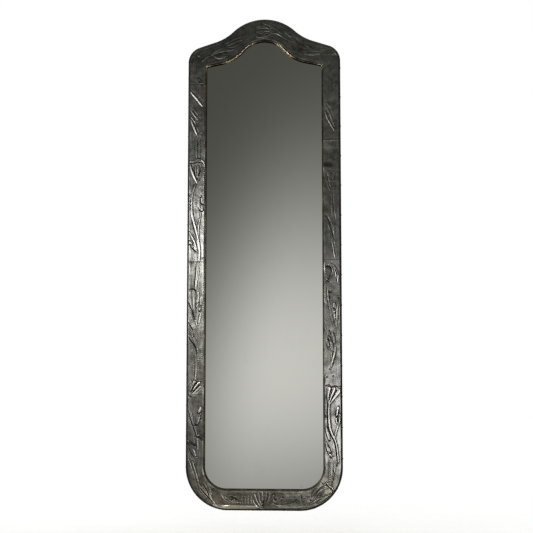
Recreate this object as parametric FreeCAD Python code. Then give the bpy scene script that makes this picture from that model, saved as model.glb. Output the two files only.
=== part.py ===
import FreeCAD, Part
import math
import os

# A wall mirror in a frame of embossed tin over a wood core.
# X is the width, the front faces -Y and Z is up.
# The origin is on the back, at the middle of the width and of the height.

Vec = FreeCAD.Vector

# Outer outline
height = 1524.0
width = 478.0
crest_radius = 142.0
crest_turn = 43.0
hollow_radius = 150.0
shoulder_slope = 18.0
shoulder_radius = 51.0
foot_radius = 130.0
rolled_edge_radius = 6.0

# Mirror opening
opening_width = 360.0
crest_face = 73.0
foot_face = 64.5
sight_crest_radius = 81.0
sight_crest_turn = 49.5
sight_hollow_radius = 124.0
sight_slope = 11.5
sight_corner_radius = 5.0
sight_foot_radius = 65.0

# Wood core, from the front lip to the back
board_thickness = 18.0
lip_thickness = 4.8
rabbet_width = 6.5
rebate_width = 18.0
rail_leg = 20.0
lap_length = 60.0

# Glass and backing
glass_thickness = 5.0
panel_thickness = 3.2
edge_gap = 0.5

# Tin and sight strip
tin_thickness = 0.5
strip_thickness = 0.8
bead_width = 3.5
bead_height = 1.6
bead_round = 0.7
field_gap = 1.0

# Embossed ornament
stem_width = 7.0
stem_relief = 2.4
leaf_width = 11.0
leaf_relief = 3.0
bud_width = 13.0
bud_relief = 3.4
petal_relief = 4.0
stroke_stations = 9

# Screws and tacks
lap_screw_head = 7.0
lap_screw_shank = 3.5
lap_screw_length = 14.0
panel_screw_head = 6.0
panel_screw_shank = 3.0
panel_screw_length = 12.0
panel_screw_pitch = 200.0
hanger_screw_head = 7.0
hanger_screw_shank = 3.0
hanger_screw_length = 9.0
screw_slot_width = 0.9
screw_slot_depth = 0.8
tack_head = 5.0
tack_dome = 1.2
tack_shank = 1.4
tack_length = 10.0
tack_pitch = 92.0
tack_seat = 0.05

# Ring hangers, let into the stiles
hanger_drop = 457.0
strap_width = 12.0
strap_length = 48.0
strap_thickness = 1.2
ring_wire = 3.0
ring_half_width = 9.5
ring_leg = 8.5
ring_bend = 3.0
hinge_gap = 0.3
pocket_depth = 6.5
pocket_width = 26.0
pocket_round = 4.0
pocket_gap = 2.0

overrun = 10.0

# Seams between the tin sheets: shares of the height from the top, and of the half width
left_seam_shares = [0.135, 0.296, 0.504, 0.772]
right_seam_shares = [0.253, 0.500, 0.754]
crest_seam_share = -0.115
left_foot_seam_turn = 55.0
right_foot_seam_turn = 35.0

# Ornament on the sides: share across the band from the sight edge, share of the height from the top
left_stem_shares = [
    [(0.46, 0.240), (0.45, 0.262), (0.46, 0.284)],
    [(0.54, 0.344), (0.74, 0.361), (0.80, 0.388), (0.77, 0.410), (0.59, 0.442), (0.43, 0.482)],
    [(0.22, 0.405), (0.30, 0.421), (0.46, 0.452)],
    [(0.42, 0.482), (0.40, 0.505), (0.50, 0.531), (0.60, 0.556)],
    [(0.51, 0.634), (0.44, 0.670), (0.42, 0.696), (0.54, 0.738)],
    [(0.34, 0.612), (0.42, 0.630)],
    [(0.80, 0.792), (0.74, 0.820), (0.54, 0.842), (0.38, 0.862), (0.37, 0.884)],
    [(0.40, 0.832), (0.46, 0.846)],
    [(0.70, 0.888), (0.58, 0.910), (0.42, 0.930), (0.32, 0.944)],
]
left_leaf_shares = [
    [(0.86, 0.148), (0.50, 0.166), (0.20, 0.186)],
    [(0.86, 0.187), (0.66, 0.199), (0.48, 0.213)],
    [(0.86, 0.212), (0.68, 0.226), (0.50, 0.243)],
    [(0.86, 0.446), (0.70, 0.465), (0.48, 0.482)],
    [(0.86, 0.470), (0.68, 0.479), (0.46, 0.486)],
    [(0.86, 0.653), (0.66, 0.668), (0.46, 0.686)],
    [(0.84, 0.872), (0.62, 0.886), (0.38, 0.897)],
]
left_bud_shares = [
    [(0.36, 0.366), (0.28, 0.387), (0.22, 0.405)],
    [(0.34, 0.576), (0.30, 0.594), (0.36, 0.614)],
    [(0.22, 0.797), (0.26, 0.815), (0.42, 0.834)],
]
left_cup_shares = [
    [(0.52, 0.344), (0.50, 0.296), 0.78],
    [(0.52, 0.634), (0.68, 0.566), 0.52],
    [(0.78, 0.790), (0.52, 0.743), 0.56],
]
right_stem_shares = [
    [(0.53, 0.356), (0.61, 0.387), (0.66, 0.414), (0.64, 0.454), (0.63, 0.476), (0.72, 0.499)],
    [(0.26, 0.538), (0.26, 0.560), (0.32, 0.582), (0.42, 0.602), (0.58, 0.632)],
    [(0.58, 0.632), (0.68, 0.676), (0.62, 0.694), (0.47, 0.712), (0.50, 0.750)],
    [(0.40, 0.784), (0.28, 0.816), (0.31, 0.832), (0.47, 0.852), (0.64, 0.872), (0.76, 0.906)],
    [(0.84, 0.830), (0.66, 0.843), (0.56, 0.857)],
]
right_leaf_shares = [
    [(0.86, 0.176), (0.58, 0.196), (0.24, 0.214)],
    [(0.28, 0.206), (0.48, 0.220), (0.68, 0.236)],
    [(0.16, 0.294), (0.34, 0.302), (0.54, 0.312)],
    [(0.16, 0.407), (0.36, 0.424), (0.62, 0.452)],
    [(0.64, 0.504), (0.42, 0.518), (0.25, 0.540)],
    [(0.20, 0.645), (0.40, 0.663), (0.62, 0.684)],
    [(0.18, 0.873), (0.36, 0.888), (0.56, 0.902)],
]
right_bud_shares = [
    [(0.80, 0.584), (0.76, 0.606), (0.60, 0.630)],
    [(0.72, 0.800), (0.80, 0.816), (0.84, 0.832)],
]
right_cup_shares = [
    [(0.53, 0.358), (0.47, 0.318), 0.76],
    [(0.39, 0.785), (0.52, 0.752), 0.80],
]

# Ornament on the crest and the foot: share of half the opening, share from the sight edge outward
crest_stem_shares = [
    [(-0.95, 0.50), (-0.80, 0.58), (-0.68, 0.60), (-0.55, 0.46)],
    [(0.11, 0.34), (0.23, 0.43), (0.36, 0.47), (0.52, 0.56)],
    [(-0.08, 0.90), (0.12, 0.80), (0.30, 0.66)],
]
crest_leaf_shares = [
    [(-0.60, 0.34), (-0.40, 0.42), (-0.22, 0.66)],
    [(-0.58, 0.62), (-0.40, 0.64), (-0.25, 0.78)],
    [(0.52, 0.56), (0.66, 0.66), (0.82, 0.56)],
    [(0.54, 0.46), (0.68, 0.36), (0.86, 0.34)],
]
crest_cup_shares = [
    [(0.08, 0.30), (-0.07, 0.70), 0.74],
]
foot_leaf_shares = [
    [(-0.50, 0.50), (-0.62, 0.30), (-0.74, 0.50)],
    [(0.50, 0.50), (0.62, 0.36), (0.74, 0.40)],
    [(0.20, 0.58), (0.32, 0.50), (0.42, 0.56)],
]
foot_cup_shares = [
    [(-0.03, 0.84), (-0.02, 0.18), 0.90],
]

# Ornament round the lower corners: share of the quarter turn from the side, share outward
corner_leaf_shares = [
    [(0.06, 0.40), (0.22, 0.56), (0.40, 0.76)],
    [(0.16, 0.26), (0.36, 0.40), (0.58, 0.62)],
    [(0.44, 0.22), (0.62, 0.36), (0.84, 0.62)],
]

half_width = width / 2
half_height = height / 2
half_opening = opening_width / 2
side_face = half_width - half_opening
tin_front = -(board_thickness + tin_thickness)
glass_front = lip_thickness - board_thickness
glass_back = glass_front + glass_thickness
panel_front = -panel_thickness
relief_front = tin_front - max(stem_relief, leaf_relief, bud_relief, petal_relief)
full_turn = 360


def direction(turn):
    """Unit vector in the front plane, turned clockwise from straight up by an angle in degrees."""
    angle = math.radians(turn)
    return Vec(math.sin(angle), 0, math.cos(angle))


def mirrored(point):
    """The same point on the other side of the middle."""
    return Vec(-point.x, point.y, point.z)


def arc(start, middle, end):
    """Circular edge through three points."""
    return Part.Arc(start, middle, end).toShape()


class Arch:
    """Camel-back outline in the front plane, offset outward by any distance."""

    def __init__(self, top, bottom, half, crest, turn, hollow, slope, corner, foot):
        self.crest, self.hollow, self.corner, self.foot = crest, hollow, corner, foot
        self.turn, self.slope, self.half, self.bottom = turn, slope, half, bottom
        self.crest_centre = Vec(0, 0, top - crest)
        self.crest_end = self.crest_centre + direction(turn) * crest
        self.hollow_centre = self.crest_end + direction(turn) * hollow
        self.hollow_end = self.hollow_centre - direction(slope) * hollow
        corner_start_x = half - corner + direction(slope).x * corner
        slope_run = corner_start_x - self.hollow_end.x
        slope_drop = slope_run * math.tan(math.radians(slope))
        self.corner_start = Vec(corner_start_x, 0, self.hollow_end.z - slope_drop)
        self.corner_centre = self.corner_start - direction(slope) * corner
        self.foot_centre = Vec(half - foot, 0, bottom + foot)

    def wire(self, grow=0):
        """Closed outline, larger all round by grow."""
        crest, hollow = self.crest + grow, self.hollow - grow
        corner, foot = self.corner + grow, self.foot + grow
        crest_top = self.crest_centre + direction(0) * crest
        a = self.crest_centre + direction(self.turn) * crest
        ab = self.hollow_centre - direction((self.turn + self.slope) / 2) * hollow
        b = self.hollow_centre - direction(self.slope) * hollow
        c = self.corner_centre + direction(self.slope) * corner
        cd = self.corner_centre + direction((self.slope + full_turn / 4) / 2) * corner
        d = self.corner_centre + direction(full_turn / 4) * corner
        e = self.foot_centre + direction(full_turn / 4) * foot
        ef = self.foot_centre + direction(full_turn * 3 / 8) * foot
        f = self.foot_centre + direction(full_turn / 2) * foot
        line = Part.makeLine
        edges = [arc(mirrored(a), crest_top, a), arc(a, ab, b), line(b, c), arc(c, cd, d)]
        edges += [line(d, e), arc(e, ef, f), line(f, mirrored(f))]
        edges += [arc(mirrored(f), mirrored(ef), mirrored(e)), line(mirrored(e), mirrored(d))]
        edges += [arc(mirrored(d), mirrored(cd), mirrored(c)), line(mirrored(c), mirrored(b))]
        edges += [arc(mirrored(b), mirrored(ab), mirrored(a))]
        return Part.Wire(edges)

    def top_at(self, x):
        """Height of the upper outline at a distance from the middle."""
        x = abs(x)
        if x < self.crest_end.x:
            return self.crest_centre.z + math.sqrt(self.crest ** 2 - x ** 2)
        if x < self.hollow_end.x:
            return self.hollow_centre.z - math.sqrt(self.hollow ** 2 - (x - self.hollow_centre.x) ** 2)
        if x < self.corner_start.x:
            return self.hollow_end.z - (x - self.hollow_end.x) * math.tan(math.radians(self.slope))
        reach = min(x - self.corner_centre.x, self.corner)
        return self.corner_centre.z + math.sqrt(self.corner ** 2 - reach ** 2)

    def bottom_at(self, x):
        """Height of the lower outline at a distance from the middle."""
        reach = min(max(abs(x) - self.foot_centre.x, 0), self.foot)
        return self.foot_centre.z - math.sqrt(self.foot ** 2 - reach ** 2)


outer = Arch(half_height, -half_height, half_width, crest_radius, crest_turn, hollow_radius,
             shoulder_slope, shoulder_radius, foot_radius)
sight = Arch(half_height - crest_face, foot_face - half_height, half_opening, sight_crest_radius,
             sight_crest_turn, sight_hollow_radius, sight_slope, sight_corner_radius, sight_foot_radius)


def slab(wire, front, back):
    """Flat plate with the outline of a wire, between two depths."""
    plate = Part.Face(wire).extrude(Vec(0, back - front, 0))
    plate.translate(Vec(0, front, 0))
    return plate


def block(x_low, x_high, y_low, y_high, z_low, z_high):
    """Box between two corners."""
    size = Vec(x_high - x_low, y_high - y_low, z_high - z_low)
    return Part.makeBox(size.x, size.y, size.z, Vec(x_low, y_low, z_low))


def rounded_blank(grow, front, radius):
    """Plate with the outer outline, its front edge rounded."""
    plate = slab(outer.wire(grow), front, 0)
    front_edges = [edge for edge in plate.Edges if edge.BoundBox.YMax < front / 2]
    return plate.makeFillet(radius, front_edges)


def turned(profile):
    """Solid turned about the Y axis from edges in the XY plane."""
    return Part.Face(Part.Wire(profile)).revolve(Vec(0, 0, 0), Vec(0, 1, 0), full_turn)


def screw_blank(head, shank, length):
    """Countersunk screw with its head flush at Y = 0 and its point towards -Y."""
    cone = (head - shank) / 2
    points = [Vec(0, 0, 0), Vec(head / 2, 0, 0), Vec(shank / 2, -cone, 0)]
    points += [Vec(shank / 2, shank - length, 0), Vec(0, -length, 0), Vec(0, 0, 0)]
    return turned(Part.makePolygon(points).Edges)


def slotted(screw, head, place, turn):
    """Screw with its driving slot cut, turned a little from its neighbours."""
    half_slot = screw_slot_width / 2
    slot = block(-head, head, -screw_slot_depth, overrun, -half_slot, half_slot)
    slot.rotate(Vec(0, 0, 0), Vec(0, 1, 0), turn)
    driven = screw.cut(slot)
    driven.translate(place)
    return driven


def even_places(wire, pitch):
    """Places and outward directions at an even pitch along a closed outline."""
    count = round(wire.Length / pitch)
    points = wire.discretize(Number=2 * count + 1)
    places = []
    for index in range(1, 2 * count, 2):
        along = points[index + 1] - points[index - 1]
        outward = Vec(-along.z, 0, along.x)
        if outward.dot(points[index]) < 0:
            outward = -outward
        places.append((points[index], outward.normalize()))
    return places


def screw_set(places, head, shank, length):
    """Screws at a list of places: the slotted screws and the holes that they fill."""
    blank = screw_blank(head, shank, length)
    screws = []
    holes = []
    for number, place in enumerate(places):
        screws.append(slotted(blank, head, place, number * full_turn / (len(places) + 1)))
        hole = blank.copy()
        hole.translate(place)
        holes.append(hole)
    return screws, Part.makeCompound(holes)


# Places of the fastenings and the hangers
lap_x = half_opening + rebate_width + (side_face - tin_thickness - rebate_width) / 2
crest_leg_end = sight.corner_centre.z - rail_leg
foot_leg_end = sight.foot_centre.z + rail_leg
lap_places = []
for side in (-1, 1):
    for leg_share in (0.25, 0.75):
        lap_places.append(Vec(side * lap_x, 0, crest_leg_end - leg_share * lap_length))
        lap_places.append(Vec(side * lap_x, 0, foot_leg_end + leg_share * lap_length))
lap_screws, lap_holes = screw_set(lap_places, lap_screw_head, lap_screw_shank, lap_screw_length)

ledge_middle = sight.wire((rabbet_width + rebate_width) / 2)
panel_places = [place for place, outward in even_places(ledge_middle, panel_screw_pitch)]
panel_screws, panel_holes = screw_set(panel_places, panel_screw_head, panel_screw_shank,
                                      panel_screw_length)

pocket_floor = -pocket_depth
knuckle_inner = ring_wire / 2 + hinge_gap
knuckle_outer = knuckle_inner + strap_thickness
hinge_y = pocket_floor + knuckle_outer
hinge_z = half_height - hanger_drop
ring_drop = ring_leg + ring_half_width + ring_wire / 2
strap_back = pocket_floor + strap_thickness
hanger_places = []
for side in (-1, 1):
    for screw_drop in (ring_drop + hanger_screw_head, strap_length - hanger_screw_head):
        hanger_places.append(Vec(side * lap_x, strap_back, hinge_z - screw_drop))
hanger_screws, hanger_holes = screw_set(hanger_places, hanger_screw_head, hanger_screw_shank,
                                        hanger_screw_length)


def tack_shape():
    """Round-headed tack, its head seated at Y = 0 and its point towards -Y."""
    rim = Vec(tack_head / 2, 0, 0)
    crown = Vec(0, tack_dome, 0)
    dome_radius = (rim.x ** 2 + tack_dome ** 2) / (2 * tack_dome)
    shoulder_turn = math.asin(rim.x / dome_radius) / 2
    middle = Vec(dome_radius * math.sin(shoulder_turn), 0, 0)
    middle.y = tack_dome - dome_radius * (1 - math.cos(shoulder_turn))
    edges = [arc(crown, middle, rim)]
    points = [rim, Vec(tack_shank / 2, 0, 0), Vec(tack_shank / 2, tack_shank - tack_length, 0)]
    points += [Vec(0, -tack_length, 0), crown]
    return turned(edges + Part.makePolygon(points).Edges)


def tacks():
    """Tacks through the side flange, all round."""
    tack = tack_shape()
    row = []
    for place, outward in even_places(outer.wire(tack_seat), tack_pitch):
        driven = tack.copy()
        driven.Placement = FreeCAD.Placement(place - Vec(0, board_thickness / 2, 0),
                                             FreeCAD.Rotation(Vec(0, 1, 0), outward))
        row.append(driven)
    return row


tin_tacks = tacks()
tack_holes = Part.makeCompound(tin_tacks)


def hanger_pocket(side):
    """Pocket in the back of a stile, for the strap and the ring in both its lying positions."""
    half_pocket = pocket_width / 2
    low = hinge_z - strap_length - pocket_gap
    high = hinge_z + ring_drop + pocket_gap
    pocket = block(side * lap_x - half_pocket, side * lap_x + half_pocket, pocket_floor, overrun, low, high)
    upright = [edge for edge in pocket.Edges if edge.BoundBox.YLength > pocket_depth]
    return pocket.makeFillet(pocket_round, upright)


def wood_core():
    """The whole core before it is cut into boards."""
    core = rounded_blank(-tin_thickness, -board_thickness, rolled_edge_radius - tin_thickness)
    core = core.cut(slab(sight.wire(strip_thickness), -board_thickness - overrun, overrun))
    core = core.cut(slab(sight.wire(rabbet_width), glass_front, overrun))
    core = core.cut(slab(sight.wire(rebate_width), panel_front, overrun))
    pockets = [hanger_pocket(side) for side in (-1, 1)]
    return core.cut(pockets + [lap_holes, panel_holes, hanger_holes, tack_holes])


def rail_cell(level, lap_end, far):
    """Space of a rail: whole beyond a level, and the front half as far as the lap's end."""
    middle = -board_thickness / 2
    whole = block(-width, width, -board_thickness - overrun, overrun, min(level, far), max(level, far))
    lap = block(-width, width, -board_thickness - overrun, middle, min(level, lap_end), max(level, lap_end))
    return whole.fuse(lap)


def wood_boards():
    """Crest rail, bottom rail and the two stiles, half-lapped at the corners."""
    core = wood_core()
    crest_cell = rail_cell(crest_leg_end, crest_leg_end - lap_length, height)
    foot_cell = rail_cell(foot_leg_end, foot_leg_end + lap_length, -height)
    stiles = core.cut([crest_cell, foot_cell])
    depth = (-board_thickness - overrun, overrun)
    left_cell = block(-width, 0, *depth, -height, height)
    right_cell = block(0, width, *depth, -height, height)
    return {
        "crest_rail": core.common(crest_cell),
        "bottom_rail": core.common(foot_cell),
        "left_stile": stiles.common(left_cell),
        "right_stile": stiles.common(right_cell),
    }


def stroke(points, half_stroke, relief, swell):
    """Raised stroke of ornament along a smooth line; swell gives its width along the way."""
    spine = Part.BSplineCurve()
    spine.interpolate(points)
    first, last = spine.FirstParameter, spine.LastParameter
    left_side = []
    right_side = []
    for station in range(stroke_stations):
        way = station / (stroke_stations - 1)
        parameter = first + (last - first) * way
        along = spine.tangent(parameter)[0]
        across = Vec(along.z, 0, -along.x).normalize() * half_stroke * swell(way)
        left_side.append(spine.value(parameter) + across)
        right_side.append(spine.value(parameter) - across)
    sides = []
    for side_points in (left_side, right_side):
        side_curve = Part.BSplineCurve()
        side_curve.interpolate(side_points)
        sides.append(side_curve.toShape())
    start_cap = Part.makeLine(right_side[0], left_side[0])
    end_cap = Part.makeLine(left_side[-1], right_side[-1])
    outline = Part.Wire([sides[0], end_cap, sides[1].reversed(), start_cap])
    root = tin_front + tin_thickness / 2
    body = Part.Face(outline).extrude(Vec(0, tin_front - relief - root, 0))
    body.translate(Vec(0, root, 0))
    return body


def stem_swell(way):
    """Even width, drawn in a little at both ends."""
    return 1 - 0.3 * (2 * way - 1) ** 4


def leaf_swell(way):
    """Pointed at both ends."""
    return 0.15 + 0.85 * math.sin(math.pi * way) ** 0.8


def petal_swell(way):
    """Narrow at the foot, widest near the rim, with a round lip."""
    return 0.25 + 0.75 * math.sin(math.pi * way ** 1.6) ** 0.6 * (1 - 0.25 * (1 - way))


def cup(foot, rim, rim_width):
    """Cup-shaped blossom of three petals that open from a foot to a scalloped rim."""
    rise = rim - foot
    across = Vec(rise.z, 0, -rise.x).normalize()
    petals = []
    for lean in (-1, 1, 0):
        tip = rim + across * (lean * rim_width / 3)
        belly = foot + rise / 2 + across * (lean * rim_width / 4)
        petals.append(stroke([foot, belly, tip], rim_width / 6, petal_relief, petal_swell))
    return petals


def side_place(side):
    """Place on a side band from its share across and its share of the height."""
    return lambda across, down: Vec(side * (half_opening + across * side_face), 0,
                                    half_height - down * height)


def crest_place(along, outward):
    """Place on the crest from its share of half the opening and its share outward."""
    x = along * half_opening
    low = sight.top_at(x)
    return Vec(x, 0, low + outward * (outer.top_at(x) - low))


def foot_place(along, outward):
    """Place on the bottom band from its share of half the opening and its share outward."""
    x = along * half_opening
    high = sight.bottom_at(x)
    return Vec(x, 0, high + outward * (outer.bottom_at(x) - high))


def corner_place(side):
    """Place round a lower corner from its share of the quarter turn and its share outward."""
    def place(turn_share, outward):
        heading = direction((1 + turn_share) * full_turn / 4)
        inner_point = sight.foot_centre + heading * sight.foot
        outer_point = outer.foot_centre + heading * outer.foot
        point = inner_point + (outer_point - inner_point) * outward
        return Vec(side * point.x, 0, point.z)
    return place


def strokes(table, place, stroke_width, relief, swell):
    """Raised strokes from a table of shares."""
    return [stroke([place(*share) for share in row], stroke_width / 2, relief, swell) for row in table]


def cups(table, place):
    """Blossoms from a table of shares: the foot, the rim and the width as a share of the side face."""
    petals = []
    for foot_share, rim_share, width_share in table:
        petals += cup(place(*foot_share), place(*rim_share), width_share * side_face)
    return petals


def ornament():
    """All the raised strokes of the frame."""
    left, right = side_place(-1), side_place(1)
    stem = (stem_width, stem_relief, stem_swell)
    leaf = (leaf_width, leaf_relief, leaf_swell)
    bud = (bud_width, bud_relief, leaf_swell)
    raised = strokes(left_stem_shares, left, *stem) + strokes(right_stem_shares, right, *stem)
    raised += strokes(left_leaf_shares, left, *leaf) + strokes(right_leaf_shares, right, *leaf)
    raised += strokes(left_bud_shares, left, *bud) + strokes(right_bud_shares, right, *bud)
    raised += cups(left_cup_shares, left) + cups(right_cup_shares, right)
    raised += strokes(crest_stem_shares, crest_place, *stem)
    raised += strokes(crest_leaf_shares, crest_place, *leaf)
    raised += strokes(foot_leaf_shares, foot_place, *leaf)
    raised += cups(crest_cup_shares, crest_place) + cups(foot_cup_shares, foot_place)
    for side in (-1, 1):
        raised += strokes(corner_leaf_shares, corner_place(side), *leaf)
    return raised


def foot_cell():
    """Space of the bottom sheet, between the seams that run through the lower corners."""
    left_centre = mirrored(outer.foot_centre)
    left_end = left_centre + mirrored(direction(full_turn / 4 + left_foot_seam_turn)) * width
    right_end = outer.foot_centre + direction(full_turn / 4 + right_foot_seam_turn) * width
    low = -height
    corners = [left_centre, left_end, Vec(left_end.x, 0, low), Vec(right_end.x, 0, low)]
    corners += [right_end, outer.foot_centre, left_centre]
    return slab(Part.makePolygon(corners), relief_front - overrun, overrun)


def sheet_cells():
    """Space of each tin sheet, from seam to seam."""
    depth = (relief_front - overrun, overrun)
    crest_seam = crest_seam_share * half_width
    bottom = foot_cell()

    def side_cells(names, seam_shares, low_x, high_x):
        levels = [height] + [half_height - share * height for share in seam_shares] + [-height]
        cells = {}
        for name, high, low in zip(names, levels, levels[1:]):
            cells[name] = block(low_x, high_x, *depth, low, high).cut(bottom)
        return cells

    left_names = ["crest_sheet_left", "left_upper_sheet", "left_middle_sheet", "left_lower_sheet",
                  "left_foot_sheet"]
    right_names = ["crest_sheet_right", "right_upper_sheet", "right_middle_sheet", "right_lower_sheet"]
    cells = side_cells(left_names, left_seam_shares, -width, crest_seam)
    cells.update(side_cells(right_names, right_seam_shares, crest_seam, width))
    cells["bottom_sheet"] = bottom
    return cells


def tin_sheets():
    """Embossed tin sheets that wrap the front and the sides of the core."""
    skin = rounded_blank(0, tin_front, rolled_edge_radius)
    skin = skin.cut(rounded_blank(-tin_thickness, -board_thickness, rolled_edge_radius - tin_thickness))
    skin = skin.cut(slab(sight.wire(strip_thickness), tin_front - overrun, overrun))
    skin = skin.cut(tack_holes)
    field = slab(outer.wire(-rolled_edge_radius), relief_front - overrun, overrun)
    field = field.cut(slab(sight.wire(bead_width + field_gap), relief_front - overrun, overrun))
    raised = ornament()
    sheets = {}
    for name, cell in sheet_cells().items():
        field_cell = field.common(cell)
        sheet = skin.common(cell)
        near = [piece for piece in raised if piece.BoundBox.intersect(field_cell.BoundBox)]
        clipped = [piece.common(field_cell) for piece in near]
        clipped = [piece for piece in clipped if piece.Solids]
        if clipped:
            sheet = sheet.fuse(clipped).removeSplitter()
        sheets[name] = sheet
    return sheets


def sight_strips():
    """Folded strip round the glass: a rounded bead on the tin and a flange down to the glass."""
    bead_front = tin_front - bead_height
    bead = slab(sight.wire(bead_width), bead_front, tin_front)
    bead = bead.cut(slab(sight.wire(), bead_front - overrun, overrun))
    front_edges = [edge for edge in bead.Edges if edge.BoundBox.YMax < bead_front + bead_height / 2]
    bead = bead.makeFillet(bead_round, front_edges)
    flange = slab(sight.wire(strip_thickness), tin_front, glass_front).cut(
        slab(sight.wire(), tin_front - overrun, overrun))
    strip = bead.fuse(flange).removeSplitter()
    joint = sight.corner_centre.z
    depth = (bead_front - overrun, overrun)
    return {
        "crest_sight_strip": strip.common(block(-width, width, *depth, joint, height)),
        "side_sight_strip": strip.common(block(-width, width, *depth, -height, joint)),
    }


def hanger_strap(side):
    """Steel strap with a rolled eye for the ring, screwed to the pocket's floor."""
    half_strap = strap_width / 2
    axis = Vec(1, 0, 0)
    start = Vec(-half_strap, 0, 0)
    plate = block(-half_strap, half_strap, -knuckle_outer, -knuckle_inner, half_strap - strap_length, 0)
    tip = Part.makeCylinder(half_strap, strap_thickness, Vec(0, -knuckle_outer, half_strap - strap_length),
                            Vec(0, 1, 0))
    eye = Part.makeCylinder(knuckle_outer, strap_width, start, axis)
    strap = plate.fuse([tip, eye]).removeSplitter()
    strap = strap.cut(Part.makeCylinder(knuckle_inner, strap_width, start, axis))
    strap.translate(Vec(side * lap_x, hinge_y, hinge_z))
    return strap.cut(hanger_holes)


def hanger_ring(side):
    """D-shaped wire ring, hanging from the strap's eye."""
    w, b, leg = ring_half_width, ring_bend, ring_leg
    bend_centre = Vec(w - b, 0, -b)
    bar_end = bend_centre + direction(0) * b
    bend_middle = bend_centre + direction(full_turn / 8) * b
    leg_top = bend_centre + direction(full_turn / 4) * b
    leg_end = Vec(w, 0, -leg)
    bottom = Vec(0, 0, -leg - w)
    edges = [Part.makeLine(mirrored(bar_end), bar_end), arc(bar_end, bend_middle, leg_top)]
    edges += [Part.makeLine(leg_top, leg_end), arc(leg_end, bottom, mirrored(leg_end))]
    edges += [Part.makeLine(mirrored(leg_end), mirrored(leg_top))]
    edges += [arc(mirrored(leg_top), mirrored(bend_middle), mirrored(bar_end))]
    section = Part.Wire(Part.makeCircle(ring_wire / 2, mirrored(bar_end), Vec(1, 0, 0)))
    ring = Part.Wire(edges).makePipeShell([section], True, True)
    ring.translate(Vec(side * lap_x, hinge_y, hinge_z))
    return ring


def pieces():
    """Every piece of the mirror, by name."""
    parts = wood_boards()
    parts.update(tin_sheets())
    parts.update(sight_strips())
    parts["mirror_glass"] = slab(sight.wire(rabbet_width - edge_gap), glass_front, glass_back)
    parts["packing_board"] = slab(sight.wire(rabbet_width - edge_gap), glass_back, panel_front)
    panel = slab(sight.wire(rebate_width - edge_gap), panel_front, 0)
    parts["back_panel"] = panel.cut(panel_holes)
    for side, name in ((-1, "left"), (1, "right")):
        parts[name + "_hanger_strap"] = hanger_strap(side)
        parts[name + "_hanger_ring"] = hanger_ring(side)
    parts["tin_tacks"] = Part.makeCompound(tin_tacks)
    parts["lap_screws"] = Part.makeCompound(lap_screws)
    parts["panel_screws"] = Part.makeCompound(panel_screws)
    parts["hanger_screws"] = Part.makeCompound(hanger_screws)
    return parts


os.makedirs("parts", exist_ok=True)
for node, shape in pieces().items():
    print(node, "solids", len(shape.Solids), "valid", shape.isValid(), "volume", round(shape.Volume, 1))
    shape.exportStep(os.path.join("parts", node + ".step"))
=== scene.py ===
import math

import bmesh
import bpy
import numpy as np
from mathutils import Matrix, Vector


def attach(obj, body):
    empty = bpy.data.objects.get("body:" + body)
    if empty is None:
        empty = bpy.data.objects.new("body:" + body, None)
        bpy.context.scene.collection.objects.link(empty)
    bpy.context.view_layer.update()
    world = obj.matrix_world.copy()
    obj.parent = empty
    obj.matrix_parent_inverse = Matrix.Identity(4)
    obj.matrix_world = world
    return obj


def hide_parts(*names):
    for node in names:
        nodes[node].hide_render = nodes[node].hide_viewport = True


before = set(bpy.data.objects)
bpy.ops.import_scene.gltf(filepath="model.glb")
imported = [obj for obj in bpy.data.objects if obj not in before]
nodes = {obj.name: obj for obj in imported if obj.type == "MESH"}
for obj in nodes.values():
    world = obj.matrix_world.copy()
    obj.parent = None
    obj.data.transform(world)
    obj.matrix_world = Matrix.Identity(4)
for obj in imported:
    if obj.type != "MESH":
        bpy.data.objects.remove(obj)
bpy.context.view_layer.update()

# A wall mirror in a frame of embossed tin sheet over a wood core.
# X is the width, the front faces -Y and Z is up. Lengths are in millimetres, but finished meshes in metres.
MM = 0.001

# Outlines of the frame and of the mirror opening, as in the solids
height = 1524.0
width = 478.0
crest_radius, crest_turn = 142.0, 43.0
hollow_radius, shoulder_slope = 150.0, 18.0
shoulder_radius, foot_radius = 51.0, 130.0
rolled_edge_radius = 6.0
opening_width = 360.0
crest_face, foot_face = 73.0, 64.5
sight_crest_radius, sight_crest_turn = 81.0, 49.5
sight_hollow_radius, sight_slope = 124.0, 11.5
sight_corner_radius, sight_foot_radius = 5.0, 65.0
tin_thickness = 0.5
strip_thickness = 0.8
tin_front = -18.5
glass_front = -13.2
bead_width, bead_height, bead_round = 3.5, 1.6, 1.0
relief_limit = 4.0

# Seams between the tin sheets
left_seam_shares = [0.135, 0.296, 0.504, 0.772]
right_seam_shares = [0.253, 0.500, 0.754]
crest_seam_share = -0.115
left_foot_seam_turn = 55.0
right_foot_seam_turn = 35.0

# Fineness of the embossed sheets
pitch_along = 0.75
pitch_across = 0.72
roll_steps = 8
flange_steps = 3
outline_samples = 500
bead_stride, bead_steps = 10, 10

half_height = height / 2
half_width = width / 2
quarter_turn = 90.0

# Camera at the photograph's viewing angle, and the photograph's frame
image_size = 533
camera_place = Vector((0.1727, -2.9891, -0.2842))
camera_aim = Vector((0.0081, -0.020, -0.0219))
sensor_width = 36.0
lens = 65.43


def heading(turn):
    """Unit vectors in the front plane, turned clockwise from straight up by angles in degrees."""
    angle = np.radians(turn)
    return np.stack([np.sin(angle), np.cos(angle)], -1)


def smooth(value):
    """Smooth step from 0 to 1."""
    value = np.clip(value, 0, 1)
    return value * value * (3 - 2 * value)


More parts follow.
